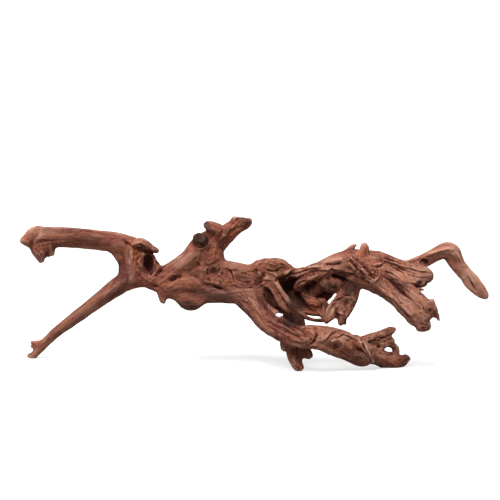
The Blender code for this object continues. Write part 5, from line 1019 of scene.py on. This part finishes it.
def every_line():
    """All the grooves and ridges: where each is, its half width, its height and its (x, height) points."""
    fine = [
        (where, half_width, height, list(zip(run[::2], run[1::2])))
        for where, rows in FINE_RELIEF.items() for half_width, height, *run in rows
    ]
    return list(RELIEF.values()) + fine


def work_relief(mesh, relief):
    """Moves the skin's points along their normals, in under a groove and out over a ridge, and notes both.
    A ledge stands out on the left of its line and falls off sharply to the right of it."""
    points = points_of(mesh)
    tree = tree_of(mesh)
    move = np.zeros(len(points))
    tone = np.zeros(len(points))
    viewer = -view_turn()[:, 1]
    for where, half_width, height, line in relief:
        side, _, form = where.partition(" ")
        path = line_on_skin(tree, side, line)
        if len(path) < 2:
            continue
        reach = REACH * half_width * MM
        near = np.flatnonzero(((points > path.min(0) - reach) & (points < path.max(0) + reach)).all(axis=1))
        apart = np.linalg.norm(points[near, None] - path[None], axis=2)
        away = apart.min(axis=1) / (half_width * MM)
        ends = np.linalg.norm(points[near, None] - path[None, [0, -1]], axis=2).min(axis=1)
        taper = np.clip(ends / (RUN_OUT * half_width * MM), END_SHARE, 1)
        bell = taper * np.exp(-(away**2))
        if form == "ledge":
            nearest = apart.argmin(axis=1)
            offset = points[near] - path[nearest]
            left = (np.cross(np.gradient(path, axis=0)[nearest], offset) @ viewer) > 0
            sideways = np.where(left, away, -away)
            bell = LEDGE_SHARE * taper * np.tanh(LEDGE_EDGE * sideways) * np.exp(-((LEDGE_FADE * away) ** 2))
        move[near] += height * MM * bell
        tone[near] += bell * np.clip(height / FULL_TONE, -1, 1) * min(1, WIDE_TONE / half_width)
    points += normals_of(mesh) * move[:, None]
    mesh.vertices.foreach_set("co", points.ravel())
    mesh.update()
    set_attribute(mesh, "worked", "POINT", tone)


# The grain

def strand_frames():
    """For every ring of every strand, in the upright frame and millimetres: place, cross directions, radius,
    length along it and the strand's number."""
    rng = np.random.default_rng(GRAIN_SEED)
    rows = []
    for number, stations in enumerate((STRANDS | INSIDE).values()):
        run = smooth_run(stations)
        centre, across, inward, length = run_frame(run)
        place = stand_up(centre) / MM
        across = stand_up(centre + across) / MM - place
        inward = stand_up(centre + inward) / MM - place
        turn = rng.uniform(-GRAIN_TWIST, GRAIN_TWIST) * length + rng.uniform(0, 2 * math.pi)
        cos, sin = np.cos(turn)[:, None], np.sin(turn)[:, None]
        radius = np.sqrt(run[:, 3] * run[:, 4])
        start = rng.uniform(0, GRAIN_APART)
        rows.append(
            np.c_[
                place, across * cos + inward * sin, inward * cos - across * sin,
                radius, length + start, np.full(len(run), number),
            ]
        )
    return np.vstack(rows)


def grain_of(points, frames):
    """For each point, how near each strand is in its own radii, and which of its rings is nearest."""
    numbers = frames[:, STRAND].astype(int)
    first = np.flatnonzero(np.r_[True, numbers[1:] != numbers[:-1]])
    places = frames[:, PLACE].astype(np.float32)
    radius = frames[:, RADIUS].astype(np.float32)
    near = np.empty((len(points), len(first)), np.float32)
    ring = np.empty((len(points), len(first)), np.int32)
    for at in range(0, len(points), BATCH):
        part = (points[at : at + BATCH] / MM).astype(np.float32)
        apart = (part**2).sum(1)[:, None] + (places**2).sum(1) - 2 * part @ places.T
        apart = np.sqrt(np.maximum(apart, 0)) / radius
        for strand, (a, b) in enumerate(zip(first, np.r_[first[1:], len(frames)])):
            best = apart[:, a:b].argmin(axis=1)
            near[at : at + BATCH, strand] = apart[np.arange(len(part)), a + best]
            ring[at : at + BATCH, strand] = a + best
    return near, ring


def grain_place(points, frames, ring):
    """Where the points lie along and across the rings: the grain runs along the first of the three."""
    row = frames[ring]
    offset = points / MM - row[:, PLACE]
    along = np.cross(row[:, ACROSS], row[:, INWARD])
    ways = [(offset * way).sum(1) for way in (along, row[:, ACROSS], row[:, INWARD])]
    ways[0] += row[:, LENGTH]
    return np.stack(ways, axis=1)


def second_share(gap):
    """The share of the second strand, which is this much farther off than the nearest."""
    return 1 / (1 + np.exp(GRAIN_SHARPNESS * gap))


def two_strands(near):
    """The two nearest strands of each row, and the share of the second."""
    order = np.argpartition(near, 2, axis=1)[:, :2]
    pair = np.take_along_axis(near, order, axis=1)
    swap = pair[:, 0] > pair[:, 1]
    order[swap] = order[swap][:, ::-1]
    pair.sort(axis=1)
    return order, second_share(pair[:, 1] - pair[:, 0])


def set_attribute(mesh, name, domain, values):
    kind = "FLOAT_VECTOR" if values.ndim == 2 else "FLOAT"
    layer = mesh.attributes.new(name, kind, domain)
    layer.data.foreach_set("vector" if values.ndim == 2 else "value", values.astype(np.float32).ravel())


# Node helpers

def feed_inputs(tree, made, feeds):
    """A feed is a link or a value for the input of that name or number."""
    for place, feed in feeds.items():
        if isinstance(feed, bpy.types.NodeSocket):
            tree.links.new(feed, made.inputs[place])
        else:
            made.inputs[place].default_value = feed


def add(tree, kind, feeds=None, **settings):
    """Adds a node with these settings and feeds."""
    made = tree.nodes.new(kind)
    for name, value in settings.items():
        setattr(made, name, value)
    feed_inputs(tree, made, feeds or {})
    return made


def calc(tree, operation, *feeds):
    return add(tree, "ShaderNodeMath", dict(enumerate(feeds)), operation=operation).outputs[0]


def times(tree, *feeds):
    """The product of the feeds, worked out from the first on."""
    product = feeds[0]
    for feed in feeds[1:]:
        product = calc(tree, "MULTIPLY", product, feed)
    return product


def total(tree, *feeds):
    """The sum of the feeds, worked out from the first on."""
    found = feeds[0]
    for feed in feeds[1:]:
        found = calc(tree, "ADD", found, feed)
    return found


def ramp(tree, value, low, high, to_low=0.0, to_high=1.0):
    """The value from low to high, smoothly turned to go from one end to the other."""
    feeds = {0: value, 1: low, 2: high, 3: to_low, 4: to_high}
    return add(tree, "ShaderNodeMapRange", feeds, interpolation_type="SMOOTHSTEP").outputs[0]


def new_group(name, kind, inputs, outputs):
    """A node group with named inputs (type, default) and outputs, and its two end nodes."""
    tree = bpy.data.node_groups.new(name, kind)
    for title, (socket, value) in inputs.items():
        made = tree.interface.new_socket(title, in_out="INPUT", socket_type=socket)
        if value is not None:
            made.default_value = value
    for title, socket in outputs.items():
        tree.interface.new_socket(title, in_out="OUTPUT", socket_type=socket)
    return tree, tree.nodes.new("NodeGroupInput").outputs, tree.nodes.new("NodeGroupOutput").inputs


# Fibres and splits

def grain_noise_group(kind, attribute):
    """Noise drawn out along the grain: both strands' patterns, mixed by their share."""
    tree, given, out = new_group(
        "grain noise",
        kind,
        {
            "Length": ("NodeSocketFloat", 30.0),
            "Width": ("NodeSocketFloat", 3.0),
            "Shift": ("NodeSocketFloat", 0.0),
            "Detail": ("NodeSocketFloat", 2.0),
        },
        {"Value": "NodeSocketFloat"},
    )
    long, wide = calc(tree, "DIVIDE", 1.0, given["Length"]), calc(tree, "DIVIDE", 1.0, given["Width"])
    scale = add(tree, "ShaderNodeCombineXYZ", {0: long, 1: wide, 2: wide}).outputs[0]
    found = []
    for name in GRAIN_NOTES[:2]:
        feeds = {0: attribute(tree, name, True), 1: scale}
        place = add(tree, "ShaderNodeVectorMath", feeds, operation="MULTIPLY").outputs[0]
        feeds = {"Vector": place, "W": given["Shift"], "Scale": 1.0, "Detail": given["Detail"]}
        found.append(add(tree, "ShaderNodeTexNoise", feeds, noise_dimensions="4D").outputs[0])
    mixed = add(tree, "ShaderNodeMix", {0: attribute(tree, GRAIN_NOTES[2], False), 2: found[0], 3: found[1]})
    tree.links.new(mixed.outputs[0], out["Value"])
    return tree


def field_attribute(tree, name, vector):
    kind = "FLOAT_VECTOR" if vector else "FLOAT"
    return add(tree, "GeometryNodeInputNamedAttribute", {"Name": name}, data_type=kind).outputs[0]


def shader_attribute(tree, name, vector):
    made = add(tree, "ShaderNodeAttribute", attribute_name=name)
    return made.outputs["Vector" if vector else "Fac"]


def grain_noise(tree, group, length, width, shift, detail):
    kind = "GeometryNodeGroup" if tree.bl_idname == "GeometryNodeTree" else "ShaderNodeGroup"
    made = tree.nodes.new(kind)
    made.node_tree = group
    feed_inputs(tree, made, {"Length": length, "Width": width, "Shift": shift, "Detail": detail})
    return made.outputs["Value"]


FIBRES = {
    "Ridge Height": 0.9, "Ridge Width": 6.0, "Ridge Length": 34.0,
    "Fibre Height": 0.6, "Fibre Width": 2.4, "Fibre Length": 16.0,
    "Split Depth": 1.1, "Split Width": 4.2, "Split Length": 20.0,
    "Knob Height": 1.0, "Knob Size": 7.0,
    "Burl Height": 1.6, "Burl Size": 5.0,
}
# Noise lies round this middle, and this factor spreads it from minus one to one.
NOISE_MIDDLE = 0.5
NOISE_SPREAD = 2.0
# Splits lie in patches of the grain: length, width, shift and detail, and where a patch starts and is full.
SPLIT_PATCH = (18.0, 10.0, 4.0, 0.0)
PATCH_EDGES = (0.46, 0.6)
# A split runs where its noise crosses the middle, as far off as this.
SPLIT_EDGE = 0.035
# Smooth wood has this share of the fibres that rough wood has on top.
LEAST_FIBRE = 0.35


def grain_wave(tree, noise, given, name, shift, detail):
    """Noise along the grain round nought, as long and wide as the inputs of that name say."""
    wave = grain_noise(tree, noise, given[name + " Length"], given[name + " Width"], shift, detail)
    return calc(tree, "SUBTRACT", wave, NOISE_MIDDLE)


def fibre_tree():
    """Works ridges, fibres, splits, knobs and burl bumps into the skin, and notes the splits."""
    inputs = {"Geometry": ("NodeSocketGeometry", None)}
    inputs.update({name: ("NodeSocketFloat", size) for name, size in FIBRES.items()})
    inputs["Finish"] = ("NodeSocketMaterial", None)
    outputs = {"Geometry": "NodeSocketGeometry"}
    tree, given, out = new_group("wood fibres", "GeometryNodeTree", inputs, outputs)
    noise = grain_noise_group("GeometryNodeTree", field_attribute)
    gnarl = field_attribute(tree, "gnarl", False)
    burl = field_attribute(tree, "burl", False)

    ridge = grain_wave(tree, noise, given, "Ridge", 1.0, 1.0)
    fibre = grain_wave(tree, noise, given, "Fibre", 2.0, 2.0)
    off_line = calc(tree, "ABSOLUTE", grain_wave(tree, noise, given, "Split", 3.0, 1.0))
    patch = ramp(tree, grain_noise(tree, noise, *SPLIT_PATCH), *PATCH_EDGES)
    split = times(tree, ramp(tree, off_line, 0.0, SPLIT_EDGE, 1.0, 0.0), patch, gnarl)

    place = add(tree, "GeometryNodeInputPosition").outputs[0]
    scale = {name: calc(tree, "DIVIDE", 1 / MM, given[name + " Size"]) for name in ("Burl", "Knob")}
    feeds = {"Vector": place, "Scale": scale["Burl"]}
    bump = add(tree, "ShaderNodeTexVoronoi", feeds, feature="SMOOTH_F1").outputs[0]
    bump = times(tree, calc(tree, "SUBTRACT", NOISE_MIDDLE, bump), burl)
    feeds = {"Vector": place, "Scale": scale["Knob"], "Detail": 2.0}
    knob = add(tree, "ShaderNodeTexNoise", feeds).outputs[0]
    knob = times(tree, calc(tree, "SUBTRACT", knob, NOISE_MIDDLE), times(tree, gnarl, NOISE_SPREAD))

    rise = times(tree, ridge, times(tree, given["Ridge Height"], gnarl), NOISE_SPREAD)
    rough = times(tree, calc(tree, "ADD", gnarl, LEAST_FIBRE), given["Fibre Height"])
    rise = total(tree, rise, times(tree, fibre, NOISE_SPREAD, rough))
    rise = calc(tree, "SUBTRACT", rise, times(tree, split, given["Split Depth"]))
    bump, knob = times(tree, bump, given["Burl Height"]), times(tree, knob, given["Knob Height"])
    rise = times(tree, total(tree, rise, bump, knob), MM)

    normal = add(tree, "GeometryNodeInputNormal").outputs[0]
    offset = add(tree, "ShaderNodeVectorMath", {0: normal, "Scale": rise}, operation="SCALE").outputs[0]
    feeds = {"Geometry": given["Geometry"], "Name": "split", "Value": split}
    geometry = add(tree, "GeometryNodeStoreNamedAttribute", feeds).outputs[0]
    geometry = add(tree, "GeometryNodeSetPosition", {"Geometry": geometry, "Offset": offset}).outputs[0]
    geometry = add(tree, "GeometryNodeRealizeInstances", {0: geometry}).outputs[0]
    feeds = {"Geometry": geometry, "Material": given["Finish"]}
    geometry = add(tree, "GeometryNodeSetMaterial", feeds).outputs[0]
    tree.links.new(geometry, out["Geometry"])
    return tree


def socket_of(tree, name):
    return next(s.identifier for s in tree.interface.items_tree if s.in_out == "INPUT" and s.name == name)


# The surface

def edges_of(mesh):
    ends = np.empty(len(mesh.edges) * 2, np.int32)
    mesh.edges.foreach_get("vertices", ends)
    ends = ends.reshape(-1, 2)
    return np.r_[ends[:, 0], ends[:, 1]], np.r_[ends[:, 1], ends[:, 0]]


def softened(values, edges, rounds):
    """Each point's value drawn towards its neighbours' mean, this many times."""
    one, other = edges
    count = np.maximum(np.bincount(one, minlength=len(values)), 1)
    values = values.copy()
    columns = values.reshape(len(values), -1)
    for _ in range(rounds):
        for column in range(columns.shape[1]):
            mean = np.bincount(one, weights=columns[other, column], minlength=len(values)) / count
            columns[:, column] += PULL * (mean - columns[:, column])
    return values


def openness(mesh, points, normals, edges):
    """The share of the half sphere over each point that no wood blocks nearby."""
    tree = tree_of(mesh)
    rng = np.random.default_rng(OPEN_SEED)
    height = np.sqrt(1 - (np.arange(OPEN_RAYS) + 0.5) / OPEN_RAYS)
    angle = np.arange(OPEN_RAYS) * GOLDEN_ANGLE
    flat = np.sqrt(1 - height**2)
    seen = np.zeros(len(points))
    side = np.cross(normals, rng.normal(size=normals.shape))
    side /= np.linalg.norm(side, axis=1, keepdims=True)
    third = np.cross(normals, side)
    starts = (points + normals * OPEN_LIFT * MM).tolist()
    cast, far = tree.ray_cast, OPEN_REACH * MM
    for up, out, turn in zip(height, flat, angle):
        ways = normals * up + side * (out * math.cos(turn)) + third * (out * math.sin(turn))
        seen += [cast(start, way, far)[3] is None for start, way in zip(starts, ways.tolist())]
    return softened(seen / OPEN_RAYS, edges, OPEN_SOFTENING)


def marked(front, facing, marks):
    """How strongly each point lies in one of the marks, on the side that it faces."""
    strength = np.zeros(len(front))
    for x, height, across, up, share in marks:
        away = ((front[:, 0] - x) / across) ** 2 + ((front[:, 2] - height) / up) ** 2
        mark = np.minimum(share * np.exp(-away), 1) * np.clip(facing * FACING_GAIN + FACING_EDGE, 0, 1)
        strength = np.maximum(strength, mark)
    return strength


def note_grain(mesh, domain, points, frames, ring, pair, share):
    """Stores where the points lie in the grain of their two nearest strands, and the second one's share."""
    every = np.arange(len(points))
    for name, strand in zip(GRAIN_NOTES, pair.T):
        set_attribute(mesh, name, domain, grain_place(points, frames, ring[every, strand]))
    set_attribute(mesh, GRAIN_NOTES[2], domain, share)


def note_surface(mesh, frames):
    """Stores what the colours read: grain, openness, worn crests, and the marks."""
    points, normals, edges = points_of(mesh), normals_of(mesh), edges_of(mesh)
    near, ring = grain_of(points, frames)

    count = len(mesh.polygons)
    corners = np.empty(len(mesh.loops), np.int32)
    mesh.loops.foreach_get("vertex_index", corners)
    corners = corners.reshape(count, 3)
    pair, _ = two_strands(near[corners].mean(axis=1))
    pair = np.repeat(pair, 3, axis=0)
    flat = corners.ravel()
    gap = near[flat, pair[:, 1]] - near[flat, pair[:, 0]]
    note_grain(mesh, "CORNER", points[flat], frames, ring[flat], pair, second_share(gap))

    for name, rounds in CRESTS.items():
        rise = ((points - softened(points, edges, rounds)) * normals).sum(axis=1) / MM
        set_attribute(mesh, name, "POINT", softened(rise, edges, 1))
    set_attribute(mesh, "open", "POINT", openness(mesh, points, normals, edges))
    front = lie_down(points)
    facing = -normals @ view_turn()[:, 1]
    for name, marks in MARKS.items():
        set_attribute(mesh, name, "POINT", marked(front, facing, marks))


def note_roughness(skin, near):
    """Stores how gnarled the skin is and how much it swells as a burl, by the strands that are near."""
    weights = np.exp(-GRAIN_SHARPNESS * near)
    weights /= weights.sum(axis=1, keepdims=True)
    names = list(STRANDS | INSIDE)
    gnarl = weights @ np.array([GNARL.get(name, 1.0) for name in names])
    front, facing = lie_down(points_of(skin)), -normals_of(skin) @ view_turn()[:, 1]
    gnarl *= 1 - np.maximum(marked(front, facing, SMOOTH_FRONT), marked(front, -facing, SMOOTH_BACK))
    set_attribute(skin, "gnarl", "POINT", gnarl)
    set_attribute(skin, "burl", "POINT", weights @ np.array([BURL.get(name, 0.0) for name in names]))


def with_fibres(skin, finish):
    """The skin with its fibres worked in, as triangles, and no more of them than MOST_TRIANGLES."""
    obj = bpy.data.objects.new("worked", skin)
    bpy.context.scene.collection.objects.link(obj)
    worked = obj.modifiers.new("wood fibres", "NODES")
    worked.node_group = fibre_tree()
    for name, size in FIBRES.items():
        worked[socket_of(worked.node_group, name)] = size
    worked[socket_of(worked.node_group, "Finish")] = finish
    corners = obj.modifiers.new("triangles", "TRIANGULATE")
    corners.min_vertices = 4
    thin = obj.modifiers.new("thin", "DECIMATE")
    thin.ratio = MOST_TRIANGLES / (2 * len(skin.polygons))
    mesh = baked(obj)
    bpy.data.objects.remove(obj)
    return mesh


def form_root(finish):
    """The root's whole skin as one closed mesh."""
    skin = formed_skin()
    frames = strand_frames()
    near, ring = grain_of(points_of(skin), frames)
    pair, share = two_strands(near)
    settle_joins(skin, share)
    work_relief(skin, every_line())
    note_grain(skin, "POINT", points_of(skin), frames, ring, pair, share)
    note_roughness(skin, near)
    mesh = with_fibres(skin, finish)
    points = points_of(mesh)
    points[:, 2] = np.maximum(points[:, 2], 0)
    mesh.vertices.foreach_set("co", points.ravel())
    for name in GRAIN_NOTES:
        mesh.attributes.remove(mesh.attributes[name])
    mesh.polygons.foreach_set("use_smooth", np.ones(len(mesh.polygons), bool))
    mesh.update()
    note_surface(mesh, frames)
    return mesh


# The finish

def colour(red, green, blue):
    """A colour of a paint chart, from 0 to 255, as the linear values that a shader takes."""
    shares = np.array([red, green, blue]) / 255
    linear = np.where(shares <= 0.04045, shares / 12.92, ((shares + 0.055) / 1.055) ** 2.4)
    return (*linear.tolist(), 1.0)


def blend(tree, share, one, other, kind="MIX"):
    made = add(tree, "ShaderNodeMix", {0: share, 6: one, 7: other}, data_type="RGBA", blend_type=kind)
    return made.outputs[2]


RED_BROWN = colour(152, 86, 70)
PURPLE_BROWN = colour(112, 62, 56)
ORANGE_BROWN = colour(178, 108, 82)
# Pale tan: of the grain and the worn crests, and of the painted highlights.
PALE_TAN = colour(216, 161, 136)
DARK_STREAK = colour(90, 31, 24)
# Painted shade for the hollows.
SHADED = colour(64, 27, 23)
# The dark patches' colour: painted shade, and dark wood.
DARK_TONE_AND_SHADE = colour(42, 19, 19)
RUST_RED = colour(144, 66, 48)
TINGE_ORANGE = colour(178, 106, 72)
TINGE_PURPLE = colour(104, 60, 62)
TAN = colour(178, 128, 94)
WARM_ORANGE = colour(200, 112, 70)

# Patterns along the grain: length, width, shift and detail. Blotches: how many to the metre, and detail.
GRAIN_PATTERNS = {
    "streak": (60.0, 3.4, 1.0, 3.0),
    "thread": (22.0, 0.9, 2.0, 2.0),
    "band": (90.0, 9.0, 3.0, 2.0),
    "dash": (7.0, 1.7, 5.0, 2.0),
}
BLOTCHES = {"broad": (32.0, 3.0), "patchy": (150.0, 4.0), "speck": (620.0, 3.0)}
TINGE_SCALE = 75.0
TINGE_DETAIL = 3.0
# These patterns show on rough wood only. How rough it is goes by the range of the gnarl and its two shares.
ON_ROUGH_WOOD = ("patchy", "speck", "dash")
ROUGH_WOOD = (0.1, 0.9, 0.35, 1.0)
# The layers over the base colour, from the lowest up: pattern, its range, the layer's share at the range's
# two ends, colour.
BASE_RANGE = (0.38, 0.62)
LAYERS = [
    ("orange tinge", 0.5, 0.66, 0.0, 0.5, TINGE_ORANGE),
    ("purple tinge", 0.52, 0.68, 0.0, 0.6, TINGE_PURPLE),
    ("patchy", 0.52, 0.66, 0.0, 0.7, RUST_RED),
    ("patchy", 0.34, 0.48, 0.7, 0.0, TAN),
    ("band", 0.48, 0.66, 0.0, 1.0, ORANGE_BROWN),
    ("streak", 0.56, 0.72, 0.0, 0.7, PALE_TAN),
    ("streak", 0.30, 0.46, 0.65, 0.0, DARK_STREAK),
    ("thread", 0.55, 0.75, 0.0, 0.35, PALE_TAN),
    ("thread", 0.28, 0.45, 0.45, 0.0, DARK_STREAK),
    ("speck", 0.52, 0.68, 0.0, 0.45, PALE_TAN),
    ("speck", 0.34, 0.48, 0.5, 0.0, DARK_STREAK),
    ("dash", 0.30, 0.42, 0.8, 0.0, DARK_STREAK),
]
# How strongly the marks, and the splits, show.
NOTE_SHARES = {"warm": 0.8, "pale": 0.7, "dark": 0.85, "split": 0.7}
# Crests that lie clear and ridges are worn pale; what lies low, and grooves, are sunk in dark; hollows get
# painted shade. Each is a range of what was noted with the shares at its two ends.
WORN_CRESTS = {"crest_fine": (0.05, 0.5, 0.0, 0.4), "crest_broad": (0.3, 2.0, 0.0, 0.5)}
WORN_RIDGES = (0.1, 1.0, 0.0, 0.4)
CLEAR_RANGE = (0.5, 0.9)
MOST_PALE = 0.85
SUNK_CRESTS = {"crest_fine": (-0.55, -0.04, 0.7, 0.0), "crest_broad": (-2.2, -0.3, 0.5, 0.0)}
SUNK_GROOVES = (-1.0, -0.1, 0.6, 0.0)
MOST_SUNK = 0.9
SHADE = (0.05, 0.55, 0.75, 0.0)
# The sheen: little light straight back, and roughness over the range of the threads.
MIRROR_SHARE = 0.15
ROUGHNESS = (0.3, 0.7, 0.84, 0.66)
# The finest relief, which the light alone shows: each pattern's share, the strength, the height in metres.
BUMP_SHARES = {"thread": 0.4, "streak": 0.3, "speck": 0.5, "dash": 0.5}
BUMP_STRENGTH = 0.8
BUMP_HEIGHT = 0.0013


def wood_patterns(tree):
    """Every pattern of the finish by its name."""
    noise = grain_noise_group("ShaderNodeTree", shader_attribute)
    place = add(tree, "ShaderNodeTexCoord").outputs["Object"]
    found = {name: grain_noise(tree, noise, *sizes) for name, sizes in GRAIN_PATTERNS.items()}
    for name, (scale, detail) in BLOTCHES.items():
        feeds = {"Vector": place, "Scale": scale, "Detail": detail}
        found[name] = add(tree, "ShaderNodeTexNoise", feeds).outputs[0]
    feeds = {"Vector": place, "Scale": TINGE_SCALE, "Detail": TINGE_DETAIL}
    tinge = add(tree, "ShaderNodeTexNoise", feeds).outputs[1]
    tinge = add(tree, "ShaderNodeSeparateColor", {0: tinge}).outputs
    found["orange tinge"], found["purple tinge"] = tinge[0], tinge[1]
    return found


def wood_finish():
    """Matte weathered wood: streaked along the grain, pale where worn, dark in splits, with painted shade in
    hollows.
    """
    finish = bpy.data.materials.new("weathered driftwood")
    finish.use_nodes = True
    tree = finish.node_tree
    shader = tree.nodes["Principled BSDF"]
    shader.inputs["Metallic"].default_value = 0.0
    shader.inputs["Specular IOR Level"].default_value = MIRROR_SHARE
    pattern = wood_patterns(tree)
    names = ("gnarl", "worked", "open", *CRESTS, *NOTE_SHARES)
    noted = {name: shader_attribute(tree, name, False) for name in names}
    shown = {name: times(tree, noted[name], share) for name, share in NOTE_SHARES.items()}

    tint = blend(tree, ramp(tree, pattern["broad"], *BASE_RANGE), PURPLE_BROWN, RED_BROWN)
    rough_wood = ramp(tree, noted["gnarl"], *ROUGH_WOOD)
    for name, low, high, to_low, to_high, over in LAYERS:
        share = ramp(tree, pattern[name], low, high, to_low, to_high)
        if name in ON_ROUGH_WOOD:
            share = times(tree, share, rough_wood)
        tint = blend(tree, share, tint, over)
    tint = blend(tree, shown["warm"], tint, WARM_ORANGE)

    worn = total(tree, *(ramp(tree, noted[name], *crests) for name, crests in WORN_CRESTS.items()))
    worn = times(tree, worn, ramp(tree, noted["open"], *CLEAR_RANGE))
    # The pale patches add painted highlights on lit tops to the wear.
    worn = total(tree, worn, ramp(tree, noted["worked"], *WORN_RIDGES), shown["pale"])
    tint = blend(tree, calc(tree, "MINIMUM", worn, MOST_PALE), tint, PALE_TAN)
    sunk = total(tree, *(ramp(tree, noted[name], *crests) for name, crests in SUNK_CRESTS.items()))
    sunk = total(tree, sunk, shown["split"], ramp(tree, noted["worked"], *SUNK_GROOVES))
    tint = blend(tree, calc(tree, "MINIMUM", sunk, MOST_SUNK), tint, DARK_STREAK)
    # Painted shade: the less open a point is, the more it takes of the shaded colour.
    tint = blend(tree, ramp(tree, noted["open"], *SHADE), tint, SHADED)
    # The dark patches: partly painted shade, partly darker wood.
    tint = blend(tree, shown["dark"], tint, DARK_TONE_AND_SHADE)
    tree.links.new(tint, shader.inputs["Base Color"])

    tree.links.new(ramp(tree, pattern["thread"], *ROUGHNESS), shader.inputs["Roughness"])
    height = total(tree, *(times(tree, pattern[name], share) for name, share in BUMP_SHARES.items()))
    feeds = {"Strength": BUMP_STRENGTH, "Distance": BUMP_HEIGHT, "Height": height}
    bump = add(tree, "ShaderNodeBump", feeds)
    tree.links.new(bump.outputs[0], shader.inputs["Normal"])
    return finish


# The studio

WHITE = (1, 1, 1, 1)
BLACK = (0, 0, 0, 1)
FLOOR_SIZE = 12.0
# The floor's own light, which the camera alone sees, and how pale it is to other rays and to the camera.
FLOOR_GLOW = 0.62
FLOOR_SHARES = (0.25, 0.6)
# How strong the sky is as a light, and as the camera sees it.
SKY_LIGHT = 0.2
SKY_SEEN = 1.2
# Each light: the way it comes from, its spread in degrees and its power.
LAMPS = {"overhead": ((-0.3, -0.45, 1.0), 40.0, 3.5), "behind": ((0.5, 0.9, 0.7), 60.0, 0.9)}
# The camera's turn is measured over this distance in the front view.
VIEW_STEP = 100.0


def plain_floor():
    """A wide pale floor at the surface that the piece stands on."""
    paper = bpy.data.materials.new("white paper")
    paper.use_nodes = True
    tree = paper.node_tree
    tree.nodes.remove(tree.nodes["Principled BSDF"])
    seen = add(tree, "ShaderNodeLightPath").outputs["Is Camera Ray"]
    glow = add(tree, "ShaderNodeEmission", {"Color": WHITE, "Strength": times(tree, seen, FLOOR_GLOW)})
    share = ramp(tree, seen, 0.0, 1.0, *FLOOR_SHARES)
    plain = add(tree, "ShaderNodeBsdfDiffuse", {"Color": blend(tree, share, BLACK, WHITE)})
    both = add(tree, "ShaderNodeAddShader", {0: glow.outputs[0], 1: plain.outputs[0]})
    tree.links.new(both.outputs[0], tree.nodes["Material Output"].inputs["Surface"])
    shape = bmesh.new()
    bmesh.ops.create_grid(shape, x_segments=1, y_segments=1, size=FLOOR_SIZE / 2)
    mesh = bpy.data.meshes.new("floor")
    shape.to_mesh(mesh)
    shape.free()
    mesh.materials.append(paper)
    floor = bpy.data.objects.new("floor", mesh)
    bpy.context.scene.collection.objects.link(floor)


def add_lamp(name, way, spread, power):
    """A wide soft light that falls evenly from that side."""
    lamp = bpy.data.lights.new(name, "SUN")
    lamp.angle = math.radians(spread)
    lamp.energy = power
    holder = bpy.data.objects.new(name, lamp)
    holder.rotation_euler = Vector(way).to_track_quat("Z", "Y").to_euler()
    bpy.context.scene.collection.objects.link(holder)


def soft_light():
    """A pale sky all round, and the wide lamps."""
    world = bpy.data.worlds.new("studio")
    bpy.context.scene.world = world
    world.use_nodes = True
    tree = world.node_tree
    sky = tree.nodes["Background"]
    sky.inputs["Color"].default_value = WHITE
    seen = add(tree, "ShaderNodeLightPath").outputs["Is Camera Ray"]
    tree.links.new(ramp(tree, seen, 0.0, 1.0, SKY_LIGHT, SKY_SEEN), sky.inputs["Strength"])
    for name, (way, spread, power) in LAMPS.items():
        add_lamp(name, way, spread, power)
    bpy.context.scene.view_settings.view_transform = "Standard"


def photo_camera():
    """The camera at the front view's angle: one millimetre of its plane is one pixel of the picture."""
    x, height = VIEW_CENTRE
    places = [(x, 0, height), (x + VIEW_STEP, 0, height), (x, 0, height + VIEW_STEP), (x, VIEW_STEP, height)]
    middle, right, up, away = (Vector(stand_up([place])[0]) for place in places)
    back = (middle - away).normalized()
    turn = Matrix(((right - middle).normalized(), (up - middle).normalized(), back))
    lens = bpy.data.cameras.new("camera")
    lens.sensor_width = SENSOR_WIDTH
    lens.lens = SENSOR_WIDTH * VIEW_DISTANCE / VIEW_WIDTH
    camera = bpy.data.objects.new("camera", lens)
    camera.matrix_world = Matrix.Translation(middle + back * VIEW_DISTANCE * MM) @ turn.transposed().to_4x4()
    bpy.context.scene.collection.objects.link(camera)
    bpy.context.scene.camera = camera


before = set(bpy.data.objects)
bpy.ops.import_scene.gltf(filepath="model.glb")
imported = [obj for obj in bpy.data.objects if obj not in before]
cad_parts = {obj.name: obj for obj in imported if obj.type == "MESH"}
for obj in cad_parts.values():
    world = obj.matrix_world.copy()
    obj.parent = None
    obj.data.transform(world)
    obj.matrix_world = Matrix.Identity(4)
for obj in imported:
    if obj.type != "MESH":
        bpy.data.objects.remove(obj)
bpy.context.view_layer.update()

driftwood = bpy.data.objects.new("driftwood", form_root(wood_finish()))
bpy.context.scene.collection.objects.link(driftwood)
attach(driftwood, "root")
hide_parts("driftwood_root")

plain_floor()
soft_light()
photo_camera()
